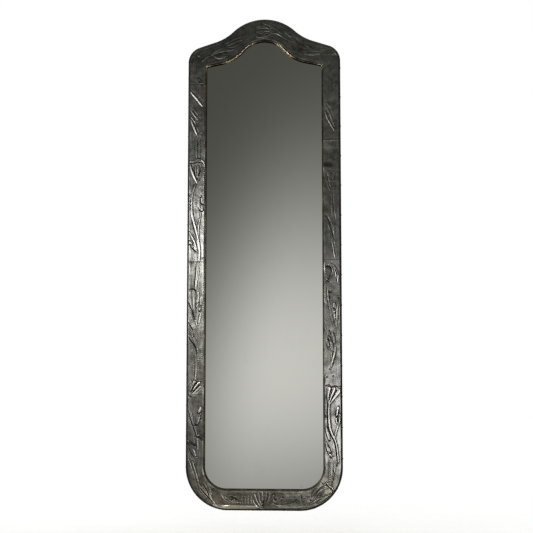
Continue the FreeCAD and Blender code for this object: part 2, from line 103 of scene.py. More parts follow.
class Outline:
    """Half of a camel-back outline, from the middle of the crest round to the middle of the foot."""

    def __init__(self, top, bottom, half, crest, turn, hollow, slope, corner, foot):
        self.crest, self.hollow, self.corner, self.foot = crest, hollow, corner, foot
        self.turn, self.slope, self.half, self.bottom = turn, slope, half, bottom
        self.crest_centre = np.array([0, top - crest])
        crest_end = self.crest_centre + heading(turn) * crest
        self.hollow_centre = crest_end + heading(turn) * hollow
        self.hollow_end = self.hollow_centre - heading(slope) * hollow
        corner_x = half - corner + heading(slope)[0] * corner
        drop = (corner_x - self.hollow_end[0]) * math.tan(math.radians(slope))
        self.corner_start = np.array([corner_x, self.hollow_end[1] - drop])
        self.corner_centre = self.corner_start - heading(slope) * corner
        self.foot_centre = np.array([half - foot, bottom + foot])

    def trace(self, grow):
        """Points of the outline, larger all round by grow, and the outward turn at each."""
        way = np.linspace(0, 1, outline_samples)

        def curve(centre, radius, first, last):
            turns = first + (last - first) * way
            return centre + heading(turns) * radius, turns

        def straight(start, end, turn):
            return start + (end - start) * way[:, None], np.full(outline_samples, turn)

        lift = heading(self.slope) * grow
        side_x = self.half + grow
        low = self.bottom - grow
        runs = [
            curve(self.crest_centre, self.crest + grow, 0, self.turn),
            curve(self.hollow_centre, grow - self.hollow, self.turn, self.slope),
            straight(self.hollow_end + lift, self.corner_start + lift, self.slope),
            curve(self.corner_centre, self.corner + grow, self.slope, quarter_turn),
            straight(np.array([side_x, self.corner_centre[1]]), np.array([side_x, self.foot_centre[1]]),
                     quarter_turn),
            curve(self.foot_centre, self.foot + grow, quarter_turn, 2 * quarter_turn),
            straight(np.array([self.foot_centre[0], low]), np.array([0, low]), 2 * quarter_turn),
        ]
        return np.concatenate([run[0] for run in runs]), np.concatenate([run[1] for run in runs])


outer = Outline(half_height, -half_height, half_width, crest_radius, crest_turn, hollow_radius,
                shoulder_slope, shoulder_radius, foot_radius)
sight = Outline(half_height - crest_face, foot_face - half_height, opening_width / 2, sight_crest_radius,
                sight_crest_turn, sight_hollow_radius, sight_slope, sight_corner_radius, sight_foot_radius)


class Band:
    """The face of the frame. A place on it is a way round from the middle of the crest, clockwise,
    and a share across from the sight edge."""

    def __init__(self):
        inner, turns = sight.trace(strip_thickness)
        rim = outer.trace(-rolled_edge_radius)[0]
        steps = np.linalg.norm(np.diff((inner + rim) / 2, axis=0), axis=1)
        way = np.concatenate([[0], np.cumsum(steps)])
        self.half = way[-1]
        self.marks = way[outline_samples - 1::outline_samples]
        self.way = np.concatenate([-way[::-1], way, 2 * self.half - way[::-1]])
        self.inner, self.rim, self.outward = [self.both_sides(a) for a in (inner, rim, heading(turns))]

    @staticmethod
    def both_sides(points):
        """The right half, with the left half before and after it."""
        left = points[::-1] * np.array([-1, 1])
        return np.concatenate([left, points, left])

    def place(self, way, share, reach):
        """Points in the front plane; reach is a distance out past the rim of the flat face."""
        def along(points):
            return np.stack([np.interp(way, self.way, points[:, axis]) for axis in (0, 1)], -1)
        inner = along(self.inner)
        return inner + (along(self.rim) - inner) * share[..., None] + along(self.outward) * reach[..., None]


band = Band()

# Marks on the way round: the ends of the hollow curve, the corner, the side and the foot curve
hollow_mark, corner_mark, side_mark, foot_mark = [band.marks[run] for run in (1, 3, 4, 5)]


class Seam:
    """A straight line across the band, between two sheets."""

    def __init__(self, miss, low, high):
        self.miss, self.low, self.high = miss, low, high

    def meet(self, share, reach):
        """Way round at which each column of a sheet meets the seam."""
        ways = np.linspace(self.low, self.high, 4 * outline_samples)
        found = []
        for one_share, one_reach in zip(share, reach):
            places = band.place(ways, np.full_like(ways, one_share), np.full_like(ways, one_reach))
            miss = self.miss(places)
            if miss[0] > miss[-1]:
                miss = -miss
            found.append(np.interp(0, miss, ways))
        return np.array(found)


def level_seam(side, share):
    """Seam across a side, at a share of the height from the top."""
    level = half_height - share * height
    ends = sorted((side * corner_mark, side * side_mark))
    return Seam(lambda places: places[..., 1] - level, *ends)


def corner_seam(side, turn, low, high):
    """Seam across a lower corner, on a ray from the centre of the outer foot curve."""
    centre = outer.foot_centre * np.array([side, 1])
    ray = heading(quarter_turn + turn) * np.array([side, 1])
    return Seam(lambda places: (places[..., 0] - centre[0]) * ray[1] - (places[..., 1] - centre[1]) * ray[0],
                low, high)


crest_seam_x = crest_seam_share * half_width
crest_seam = Seam(lambda places: places[..., 0] - crest_seam_x, -hollow_mark, 0)
right_corner_seam = corner_seam(1, right_foot_seam_turn, side_mark, foot_mark)
left_corner_before = corner_seam(-1, left_foot_seam_turn, -foot_mark, -side_mark)
left_corner_after = corner_seam(-1, left_foot_seam_turn, 2 * band.half - foot_mark, 2 * band.half - side_mark)
left_seams = [level_seam(-1, share) for share in left_seam_shares]
right_seams = [level_seam(1, share) for share in right_seam_shares]
sheet_seams = {
    "crest_sheet_left": (left_seams[0], crest_seam),
    "left_upper_sheet": (left_seams[1], left_seams[0]),
    "left_middle_sheet": (left_seams[2], left_seams[1]),
    "left_lower_sheet": (left_seams[3], left_seams[2]),
    "left_foot_sheet": (left_corner_before, left_seams[3]),
    "crest_sheet_right": (crest_seam, right_seams[0]),
    "right_upper_sheet": (right_seams[0], right_seams[1]),
    "right_middle_sheet": (right_seams[1], right_seams[2]),
    "right_lower_sheet": (right_seams[2], right_corner_seam),
    "bottom_sheet": (right_corner_seam, left_corner_after),
}

# Ornament. A stroke is a style, a half width and a relief in millimetres, and a line through pixels of the
# photograph, each given across and down
left_pixels = [
    ("ridge", 2.0, 0.7, 190.4, 64, 191.5, 59, 193.8, 55.8),
    ("ridge", 1.8, 0.6, 197, 54.5, 199, 56.2, 199.8, 54.2),
    ("line", 1.6, 0.5, 196.2, 62, 196.4, 72),
    ("ridge", 1.8, 0.3, 200.3, 83.2, 204.8, 83.6),
    ("line", 1.8, 0.3, 198.5, 80, 200.3, 81.5, 202.4, 84.8),
    ("blade", 4.6, 0.95, 189.8, 90, 193.2, 94.6, 197.2, 99, 202.6, 106.6),
    ("line", 1.5, 0.2, 194.6, 91.6, 199, 97, 203.8, 103),
    ("blade", 2.8, 0.26, 190, 108.6, 193, 113.2, 198, 120),
    ("line", 1.5, 0.3, 192.6, 109.4, 196.6, 114.6, 201, 120),
    ("blade", 2.8, 0.3, 190.6, 115.6, 193.6, 120, 196.8, 125),
    ("blade", 4.6, 1.15, 190.2, 118, 193, 124.2, 197, 134.6),
    ("blade", 2.6, 0.25, 194.6, 121.6, 196.8, 126.4, 199, 132),
    ("ridge", 3.2, 0.3, 203.6, 112, 203.2, 124, 201, 133),
    ("stem", 3.4, 0.4, 196.3, 136.5, 196.5, 145, 196.8, 157),
    ("stem", 3.4, 0.4, 199.6, 137, 199.8, 147, 199.4, 157),
    ("ridge", 2.4, 0.8, 188, 161.2, 193, 161, 198.5, 159.6, 202.4, 160.6, 204.4, 163.4, 205.2, 169),
    ("line", 1.7, 0.9, 188, 163.2, 194, 163, 199, 161.8, 202.4, 162.8),
    ("petal", 6.0, 0.5, 196.6, 184, 200, 176, 202.6, 167),
    ("petal", 5.6, 0.6, 196.8, 183, 197.8, 174, 198.6, 165.6),
    ("petal", 4.2, 0.5, 196.6, 182, 196, 174, 195.4, 165.6),
    ("blade", 5.0, 0.95, 189.8, 162.4, 192.4, 171.6, 197.4, 184),
    ("ridge", 2.2, 0.6, 203.2, 168, 200.4, 173.6, 197, 181.5),
    ("line", 1.5, 0.5, 194.2, 166, 194.8, 172, 196, 178),
    ("line", 1.5, 0.5, 200.4, 167, 199, 173.6, 197, 179),
    ("dot", 2.6, 0.8, 198, 176.6),
    ("stem", 4.4, 1.3, 195.6, 184, 193.4, 191, 191.8, 200, 191.8, 211, 193.6, 221, 196.3, 232, 198.8, 243,
        199.7, 252, 199, 262),
    ("line", 1.6, 0.9, 190.4, 199, 190.3, 211),
    ("line", 1.6, 0.8, 192.2, 220, 194.6, 229.5, 197.4, 240),
    ("line", 1.6, 0.7, 195, 221, 196.6, 226.5, 197.6, 229.5),
    ("bud", 5.6, 0.7, 199.4, 197, 199.2, 203, 199.6, 210),
    ("line", 1.7, 1.1, 201.8, 195.4, 200.4, 198.4, 200.8, 202, 202.6, 204.6, 204, 204),
    ("line", 1.7, 1.1, 198.4, 207, 199.8, 210.2, 202, 211.4, 203.8, 209.2, 204.2, 206.4),
    ("stem", 2.8, 1.0, 201, 211, 200.4, 217, 199.2, 223, 198.4, 231, 199.2, 238),
    ("leaf", 6.0, 1.8, 188.8, 231, 192.8, 237, 196, 244, 197.8, 252),
    ("leaf", 5.2, 1.7, 188.4, 240.6, 192.4, 244.4, 197.2, 252.6),
    ("line", 1.8, 1.3, 190.6, 233, 194.2, 237.6, 196.6, 243.4, 197.7, 251),
    ("line", 1.7, 1.1, 188.6, 240.4, 191.6, 241.8, 194.2, 246.4),
    ("line", 1.7, 1.0, 188.6, 244.4, 192.2, 245.4, 194, 248),
    ("line", 1.6, 0.9, 190.4, 246.4, 194, 249.8, 197.2, 252.4),
    ("ridge", 1.8, 0.7, 201.2, 258.4, 206, 258.6),
    ("stem", 4.2, 1.3, 199, 262, 198.2, 271, 196.8, 280, 196, 290),
    ("line", 1.6, 0.8, 199, 263, 197.9, 272, 196.9, 280),
    ("line", 1.5, 0.7, 196.4, 263, 195.4, 275, 194.6, 286),
    ("petal", 6.6, 0.4, 196.2, 324, 191.6, 309, 190.4, 292),
    ("petal", 6.6, 0.35, 196.4, 324, 200, 309, 202.2, 296),
    ("petal", 6.0, 0.5, 196.2, 323, 194.4, 307, 193.8, 290.4),
    ("petal", 5.4, 0.4, 196.4, 323, 198.2, 308, 198.6, 292),
    ("line", 1.8, 0.9, 188.4, 302, 190.8, 308, 193, 314, 195, 320),
    ("line", 1.5, 0.5, 188.6, 291, 191, 289.4, 194.6, 289.4, 196.8, 293.4, 197.2, 300),
    ("ridge", 2.2, 1.2, 198.6, 302.6, 196.4, 307),
    ("ridge", 2.2, 1.2, 200.8, 306.8, 199, 310.6),
    ("pit", 3.0, 1.8, 200.7, 306.2),
    ("pit", 3.0, 1.8, 199.6, 311.2),
    ("blade", 3.2, 0.45, 201.6, 311.6, 200, 318, 199, 326),
    ("stem", 3.0, 0.6, 196.2, 322, 197.6, 327),
    ("leaf", 5.0, 0.5, 189.6, 330, 193.6, 338, 196.8, 346, 197.4, 354),
    ("line", 1.6, 0.7, 188, 322.6, 190.6, 326.4, 193.2, 331),
    ("line", 1.7, 0.9, 188.2, 337, 192, 342, 195, 346.8, 196.5, 351.4, 196.4, 358),
    ("dot", 2.6, 0.9, 191.5, 332),
    ("dot", 2.6, 0.9, 193, 337),
    ("dot", 2.4, 0.5, 197.6, 349.5),
    ("stem", 3.6, 0.5, 196.4, 354, 196, 362, 195.3, 370, 194.6, 380),
    ("line", 1.5, 0.7, 194.4, 366, 194.2, 379),
    ("petal", 4.6, 0.5, 189.2, 396.5, 189.6, 389, 191, 381),
    ("petal", 5.2, 2.4, 190.4, 391.4, 192, 386.4, 195, 380.8),
    ("petal", 5.2, 2.5, 191.8, 392.6, 195.2, 387.4, 199.8, 382.2),
    ("petal", 4.0, 0.4, 189.8, 396.8, 195.6, 392, 201, 386.4),
    ("line", 1.5, 0.6, 199.8, 385.4, 196, 389.4, 192.4, 393),
    ("line", 1.5, 0.7, 197, 382, 194.2, 386, 192.2, 389.4),
    ("pit", 2.4, 1.2, 193.3, 379.6),
    ("pit", 2.4, 1.2, 197.5, 379.8),
    ("dot", 2.2, 1.2, 199.8, 380.6),
    ("line", 1.8, 0.9, 186.8, 394.6, 189.4, 395.4, 191.4, 397.4),
    ("stem", 4.4, 0.2, 189.4, 396.6, 187.9, 404, 188.9, 413, 191.3, 421, 194.2, 429, 196.1, 437, 196.9,
        446, 196.7, 455),
    ("line", 1.6, 1.0, 188.3, 412, 190.4, 420, 192.8, 426.6, 195, 433, 196.3, 437),
    ("line", 1.4, 0.6, 191.4, 411, 193.4, 420),
    ("bud", 5.8, 1.3, 200.8, 407.6, 198.6, 416, 195.8, 427),
    ("ridge", 2.0, 1.0, 199.6, 411.6, 201.2, 410.4),
    ("ridge", 2.4, 1.2, 197.8, 415.4, 200.6, 415.4),
    ("line", 1.6, 1.4, 196.6, 412.2, 198.4, 414, 200.8, 412.8),
    ("pit", 2.8, 1.4, 200.6, 419),
    ("pit", 4.0, 1.6, 195.8, 425.4),
    ("leaf", 4.6, 1.4, 196.8, 437.6, 199.4, 435.8, 202.6, 440),
    ("ridge", 1.8, 0.2, 197.5, 438.4, 197.5, 450),
    ("leaf", 6.6, 1.7, 187.6, 440.6, 191, 444.6, 195.8, 447.4),
    ("leaf", 7.0, 0.9, 189, 446, 192.4, 451.4, 195.6, 458),
    ("line", 1.6, 0.8, 193, 456.4, 197, 457.2),
    ("dot", 3.2, 1.5, 192.4, 459.4),
    ("stem", 4.2, 0.18, 189.8, 457, 192.8, 466, 195.4, 474.6, 198, 484),
    ("line", 1.6, 0.6, 189.2, 459, 191.8, 466, 194.4, 474, 197, 483.4),
    ("line", 1.4, 0.5, 193.8, 463, 196.4, 471.6, 199, 481),
    ("leaf", 6.4, 0.6, 197.6, 483, 201, 489.4, 206, 495.2, 211, 500.4, 215.4, 505),
    ("leaf", 5.0, 0.5, 203, 481.4, 205.8, 487, 208.4, 494, 212.4, 502),
    ("leaf", 4.4, 0.5, 195.8, 489, 200.6, 495, 206, 499.4, 212, 503.6),
    ("leaf", 3.6, 0.4, 206.6, 482, 208.6, 488, 211.4, 496),
    ("line", 1.6, 1.0, 199.6, 487.6, 203.4, 492.4, 207.6, 496.8, 212.4, 502),
    ("line", 1.6, 0.9, 203.4, 486, 206.4, 490.4, 209, 496),
]
right_upper_pixels = [
    ("line", 1.8, 0.4, 331.8, 78, 332, 88),
    ("ridge", 2.6, 0.5, 334.4, 74, 334.2, 90),
    ("leaf", 3.6, 0.9, 325.4, 101, 328.6, 104.6, 332.4, 108.6),
    ("leaf", 3.4, 0.9, 324.8, 105, 328.6, 110.4, 331.4, 117, 333.6, 123.4),
    ("ridge", 2.2, 0.8, 330.8, 108.6, 333.4, 112.8),
    ("blade", 3.8, 1.1, 324.8, 110, 327.6, 118, 331, 124, 334.2, 130.4),
    ("line", 1.6, 0.9, 329.4, 119, 332, 123, 334.4, 127.6),
    ("ridge", 3.0, 0.5, 323.6, 140.2, 329, 140, 334, 140),
    ("petal", 5.8, 0.4, 331.4, 193, 327.6, 183.6, 324.8, 173),
    ("petal", 5.8, 0.4, 332, 193, 335.4, 183.6, 338, 171.4),
    ("petal", 5.8, 0.3, 331.6, 192, 330.2, 182, 329, 171),
    ("petal", 5.8, 0.3, 331.8, 192, 333, 182, 333.8, 171),
    ("line", 1.6, 0.4, 328, 181.2, 330.4, 182, 333.4, 181.6),
    ("stem", 3.8, 0.16, 331.6, 192, 332, 202, 332.8, 212, 334, 222, 334.2, 232, 333.4, 240),
    ("line", 1.6, 0.3, 332.2, 184, 332.8, 196, 333.6, 207, 335, 219),
    ("leaf", 5.0, 0.25, 324.4, 213, 327.8, 220, 330.6, 229, 333.6, 240),
    ("line", 2.2, 0.9, 324.6, 214.8, 327.8, 217.6, 330, 223.4, 331.8, 229.6, 334, 238.4),
    ("ridge", 2.0, 0.4, 326, 218, 327.2, 225),
    ("ridge", 2.2, 0.4, 327.6, 229, 330.4, 234.4, 333, 240.4),
    ("stem", 3.2, 0.45, 332.2, 240, 333.6, 247, 334.6, 254, 336.2, 260.4),
    ("line", 1.5, 0.9, 331.8, 244, 333, 250, 334, 257),
]
right_lower_pixels = [
    ("bud", 7.6, 0.9, 331.6, 263.4, 328.6, 270, 327.2, 280),
    ("line", 1.8, 0.9, 325.4, 266.4, 328.4, 265.6, 331, 268, 332.2, 272.6),
    ("ridge", 2.0, 1.1, 326.4, 280.4, 327.8, 279, 328.8, 279.4),
    ("pit", 2.8, 1.3, 329, 281.2),
    ("leaf", 5.0, 0.7, 331.6, 263, 335.2, 268, 337.4, 276, 338.4, 284),
    ("line", 1.7, 1.0, 335, 269, 337.2, 275, 336.8, 281),
    ("line", 1.5, 0.45, 326.6, 287, 327.4, 298, 328.6, 306, 330.4, 313),
    ("stem", 3.2, 0.4, 327.8, 290, 328.8, 301, 330.6, 312, 333.4, 325),
    ("pit", 3.2, 0.9, 330, 291.6),
    ("pit", 2.8, 1.2, 330, 297),
    ("pit", 3.2, 1.0, 338.8, 297.6),
    ("bud", 5.0, 0.9, 334.6, 302.6, 335.4, 310.6),
    ("bud", 5.0, 0.7, 338.2, 306, 337.6, 315, 336.2, 326),
    ("line", 1.7, 1.3, 333.6, 307.8, 335.4, 309.8, 335.9, 313),
    ("line", 1.5, 1.0, 339, 307, 338.6, 316, 337.6, 324),
    ("ridge", 1.8, 0.9, 334.6, 311, 335.2, 322),
    ("bud", 5.6, 0.8, 328.6, 330.6, 329.6, 339.4),
    ("bud", 5.2, 0.7, 333, 333, 334, 343),
    ("bud", 5.2, 0.8, 327.2, 339.4, 328.6, 348),
    ("bud", 4.8, 0.8, 331.6, 341, 331.8, 351),
    ("line", 1.6, 0.8, 328.4, 335, 330.8, 337.6, 331.4, 341.4),
    ("line", 1.6, 0.8, 326.8, 345.6, 329.4, 347, 331.8, 344),
    ("blade", 3.6, 0.9, 336, 347, 335, 353, 333.2, 359.4, 331.2, 367.4),
    ("blade", 2.6, 0.65, 332.2, 350.6, 331.7, 355, 331, 361),
    ("line", 1.6, 0.3, 333.4, 351, 333, 355),
    ("pit", 3.4, 1.4, 330.2, 368.8),
    ("pit", 3.4, 0.5, 327, 376.6),
    ("pit", 3.4, 0.5, 333, 376),
    ("petal", 7.4, 1.8, 328.2, 403, 328, 395, 329.6, 387),
    ("petal", 7.4, 1.8, 328.8, 404, 331.4, 395.6, 334.6, 387.6),
    ("petal", 7.6, 1.8, 329.2, 404.4, 334.8, 397, 340.6, 389),
    ("line", 1.5, 1.3, 332, 389, 330.8, 395, 329, 400.6),
    ("line", 1.5, 1.3, 337.2, 390, 333.6, 396.6, 330.4, 402),
    ("line", 1.6, 0.7, 325.2, 385.8, 328.6, 384.8, 331.6, 387, 335, 385.6, 338, 387, 341, 386.2),
    ("stem", 4.0, 1.7, 329.2, 402, 328.7, 411, 329, 420, 330.2, 429, 332.9, 436, 335.6, 443, 337.2, 452,
        338.3, 462.6),
    ("line", 1.7, 1.5, 327.4, 403, 327.1, 412, 327.5, 421, 328.5, 430, 331.6, 436.6, 334.4, 442, 335.8,
        448, 336.7, 455, 337.2, 461),
    ("bud", 4.4, 2.1, 338.6, 406.4, 337.4, 411, 336.4, 417),
    ("bud", 3.6, 2.0, 340.2, 414, 339.8, 420, 338.6, 426),
    ("stem", 3.0, 1.6, 336.4, 416.4, 336.2, 421, 338, 424.6),
    ("line", 1.6, 1.5, 335, 414.4, 336.4, 416.8, 338.8, 417.2),
    ("line", 1.5, 1.2, 337.8, 418.6, 337.9, 423),
    ("stem", 3.1, 1.6, 338.8, 424, 336.4, 430.6, 334.6, 438.4),
    ("leaf", 6.0, 1.4, 325.6, 426, 327.6, 433, 329.4, 441),
    ("leaf", 5.8, 1.4, 325.6, 442, 328, 449, 331.6, 458.6),
    ("line", 1.7, 1.4, 328.6, 451.6, 330, 453.4, 331.8, 452),
    ("line", 1.8, 1.5, 329.4, 455.6, 331, 458, 333.8, 456.2),
    ("pit", 3.0, 1.2, 329.2, 441),
    ("stem", 3.0, 0.8, 335, 461, 334.6, 469, 333.4, 477, 331.8, 486),
    ("line", 1.6, 1.2, 336.6, 466.6, 337.6, 463.6, 338.8, 463.2),
    ("line", 1.6, 0.9, 332.8, 470, 334, 474, 333.2, 480, 331.6, 486),
    ("ridge", 2.2, 1.1, 325.6, 481.6, 329, 485.6, 332, 488, 334.6, 491.4),
    ("line", 1.7, 1.1, 326, 484.6, 330.4, 488.8, 334.4, 492),
    ("dot", 3.0, 1.4, 331.8, 492.8),
]
crest_pixels = [
    ("ridge", 2.6, 1.3, 202.6, 61, 206.4, 57.4, 210.8, 55.2),
    ("leaf", 6.6, 1.5, 210.4, 56, 216, 52.4, 223.4, 49.9, 235, 49.4),
    ("ridge", 2.6, 1.2, 210.8, 54.9, 214.2, 51.9, 218.6, 49.5, 223.6, 47.5, 228, 47.2),
    ("line", 1.7, 0.6, 213, 54.3, 218.4, 52.9, 225, 52.5, 231.6, 52.7),
    ("leaf", 5.4, 0.8, 212.6, 55, 217.6, 57.2, 223, 57, 228, 55.2),
    ("ridge", 2.3, 0.2, 213, 55, 215.6, 56.8, 218, 57.9, 224, 57.8),
    ("line", 1.6, 0.8, 215.4, 59.4, 221.6, 59.4),
    ("leaf", 5.2, 1.3, 225.4, 43.8, 232, 40.2, 241.6, 36),
    ("leaf", 4.8, 1.3, 224.8, 46.4, 233, 42.6, 243.6, 39.2),
    ("leaf", 4.4, 1.1, 228, 47.8, 234.6, 45.8, 241.4, 42.6),
    ("line", 1.5, 0.8, 226.4, 44.4, 232.6, 41.4, 240, 38),
    ("line", 1.5, 0.7, 227.4, 46.4, 233.6, 44.2, 240.4, 41.2),
    ("line", 1.6, 0.4, 248.4, 27, 249.2, 37),
    ("petal", 5.2, 1.3, 273, 32, 264, 26.2, 256.6, 26.4),
    ("petal", 5.2, 1.4, 273, 32.4, 264.6, 30.6, 256.4, 31.6),
    ("petal", 5.6, 1.7, 273, 32.8, 265.4, 35.8, 256.4, 36.9),
    ("line", 1.7, 1.3, 257, 29.6, 263, 28.7, 271.4, 29.2),
    ("line", 1.7, 1.3, 256.8, 34, 261.4, 34.1, 265.4, 32.4, 270, 31.8),
    ("ridge", 2.4, 0.5, 257.4, 37, 262.6, 37.2, 267.4, 35.8, 272, 33.2),
    ("line", 1.5, 0.8, 257.6, 38.8, 264, 39, 270, 37.6),
    ("stem", 3.4, 1.3, 271.6, 33, 277, 33.4, 281.6, 35.8, 287, 39.2, 291, 41.2, 295.4, 41.6),
    ("line", 1.5, 0.8, 272, 34.8, 277.6, 35.2, 282.6, 38),
    ("leaf", 4.4, 0.7, 261.4, 22.8, 269.6, 25.4, 277, 30, 283.6, 36),
    ("line", 1.6, 0.7, 262, 23.9, 268.4, 26.1, 273, 28.6, 278, 31.8, 283.4, 36.6),
    ("leaf", 4.4, 1.3, 282.6, 28.6, 287.4, 33.4, 293.6, 38.4),
    ("line", 1.5, 0.8, 283.6, 33, 288.6, 36.6, 294.4, 38),
    ("line", 1.7, 0.9, 294.6, 37.6, 297.4, 41, 303, 44.2, 308.6, 45.6),
    ("leaf", 4.6, 0.9, 303, 44, 308.4, 46.2, 312.4, 49.8),
    ("leaf", 6.0, 1.4, 299.4, 48.8, 305, 52.6, 312, 53.8, 321, 53.4),
    ("ridge", 2.1, 0.5, 306.4, 46.2, 308.8, 47.4, 310.8, 49.6),
    ("line", 1.5, 0.9, 309, 45.4, 311, 47, 312.4, 49),
    ("line", 1.6, 1.0, 301.6, 52.4, 307.6, 52.3, 321, 52.4),
    ("ridge", 2.2, 0.4, 304, 53.8, 308, 54.6, 312, 54),
    ("pit", 2.6, 1.1, 304.4, 46.4),
    ("pit", 2.6, 1.1, 304.5, 50.4),
    ("pit", 3.8, 1.0, 301, 50),
    ("ridge", 1.7, 0.5, 319.6, 49.6, 326, 49.2),
    ("ridge", 1.7, 0.5, 320.6, 54.2, 330, 54.4),
    ("ridge", 2.3, 1.3, 332.6, 54.4, 334.6, 53, 337.2, 54.6),
    ("line", 1.6, 0.6, 332, 56, 338, 56.8),
]
foot_pixels = [
    ("blade", 5.6, 1.8, 213, 505.6, 222, 506.9, 240, 507.3, 259, 507.4),
    ("line", 1.6, 0.4, 214, 504, 222, 504.6, 240, 504.8, 256, 505),
    ("ridge", 3.4, 2.2, 193, 493.4, 199.4, 498.8, 206, 502.8, 213.6, 505),
    ("ridge", 2.6, 0.5, 282, 508, 296, 508, 308, 506.6),
    ("line", 1.7, 0.8, 221.4, 493.4, 224, 498.2),
    ("leaf", 5.6, 1.2, 223.4, 496, 229, 499.2, 235.6, 501.4, 241, 503),
    ("leaf", 4.6, 1.3, 227, 495, 232.6, 497, 238.6, 498.4),
    ("line", 1.7, 1.5, 224, 495.6, 228, 498.2, 231.6, 500.6),
    ("line", 1.5, 1.1, 224.6, 498.8, 229.6, 501.8),
    ("line", 1.5, 1.0, 234.4, 499.8, 240.4, 501.6),
    ("ridge", 2.3, 1.3, 231.4, 502.2, 238, 502.9),
    ("pit", 3.4, 1.6, 231.6, 497.2),
    ("pit", 3.4, 1.8, 232, 500),
    ("pit", 3.2, 1.6, 235, 498.6),
    ("line", 1.4, 0.6, 243.4, 494, 242.6, 503.6),
    ("line", 1.4, 0.6, 246.4, 496, 245.8, 503.8),
    ("line", 1.4, 0.6, 249.4, 495, 248.8, 503.8),
    ("line", 1.4, 0.6, 252, 496, 251.8, 503.6),
    ("pit", 2.8, 1.0, 244.8, 495.6),
    ("petal", 4.6, 1.0, 261.8, 507.8, 257, 502.4, 253.8, 494.6),
    ("petal", 4.6, 1.1, 262, 507.8, 259, 500.8, 257.4, 492.8),
    ("petal", 4.6, 1.0, 262.4, 507.8, 262, 500, 261.6, 492),
    ("petal", 4.6, 0.9, 262.8, 507.8, 265, 500.4, 265.6, 492.2),
    ("petal", 4.6, 1.0, 263, 507.8, 267.6, 501.6, 269.6, 493.2),
    ("petal", 4.6, 0.9, 263.2, 507.8, 270.4, 502.8, 273.4, 495.4),
    ("line", 1.6, 1.3, 253.4, 498.6, 255, 502.8, 258.2, 507),
    ("line", 1.6, 1.2, 256.6, 496.4, 258.2, 501, 261, 506.4),
    ("line", 1.6, 1.2, 263.1, 501, 262.8, 508),
    ("line", 1.5, 1.0, 267.6, 497.4, 266.4, 502),
    ("line", 1.5, 1.0, 274, 496.6, 270.6, 502.6, 266, 506.4),
    ("pit", 2.8, 1.2, 263.2, 491.4),
    ("pit", 2.8, 1.2, 265, 493.8),
    ("pit", 4.6, 2.0, 275.2, 499.8),
    ("pit", 3.6, 1.4, 282.5, 497.6),
    ("leaf", 3.2, 0.8, 276.6, 503.6, 279.6, 500.6, 281.8, 496.8),
    ("swell", 12.0, 0.4, 283, 499.6, 290, 497.6, 298.6, 495.4),
    ("line", 1.6, 0.9, 272.6, 503, 278.6, 504.6, 286, 504.4, 292.6, 502.8, 297.4, 499.2),
    ("ridge", 2.0, 1.1, 273.4, 505, 276.4, 505.4, 279.6, 506.4),
    ("dot", 3.4, 1.9, 303.8, 497.8),
    ("dot", 2.8, 1.4, 308.6, 496.4),
    ("line", 1.5, 0.8, 301.8, 494.8, 301, 499, 302.2, 503),
    ("pit", 2.8, 1.2, 310.2, 500.4),
    ("leaf", 5.4, 0.9, 305, 506, 312.4, 502.4, 319.4, 498, 327.4, 496),
    ("leaf", 5.4, 0.9, 311.6, 502.6, 317.4, 496, 322.4, 490.6, 328, 487.6),
    ("leaf", 5.0, 0.9, 311, 497, 315.6, 491, 320, 486.4, 326, 483.8),
    ("leaf", 4.6, 0.8, 316.4, 503.4, 323, 499.6, 329.4, 494.2),
    ("line", 1.8, 0.9, 316.2, 494, 319.6, 490.4, 323.8, 486.2),
    ("line", 1.6, 1.2, 307, 505, 314, 501.2, 318.4, 497.8, 324.4, 496.6, 330, 494.4),
    ("line", 1.5, 1.0, 313.4, 501.6, 318.8, 495, 324.4, 489.8, 328.6, 489),
    ("line", 1.5, 0.9, 320.4, 504, 326, 499.6, 331.6, 493.6),
    ("ridge", 1.8, 0.8, 317.8, 485, 321.6, 484, 326, 485),
]
border_pixels = [
    ("ripple", 3.2, 0.4, 204.6, 139, 204.6, 259),
    ("ripple", 3.4, 0.6, 204.2, 263, 203.4, 330),
    ("ripple", 3.2, 0.15, 198.4, 356, 198.2, 377),
    ("ripple", 3.0, 0.12, 202.2, 340, 201.4, 376),
    ("ripple", 3.0, 0.2, 325, 262, 325, 330),
    ("ripple", 4.6, 0.7, 329.6, 460, 329.4, 482),
]
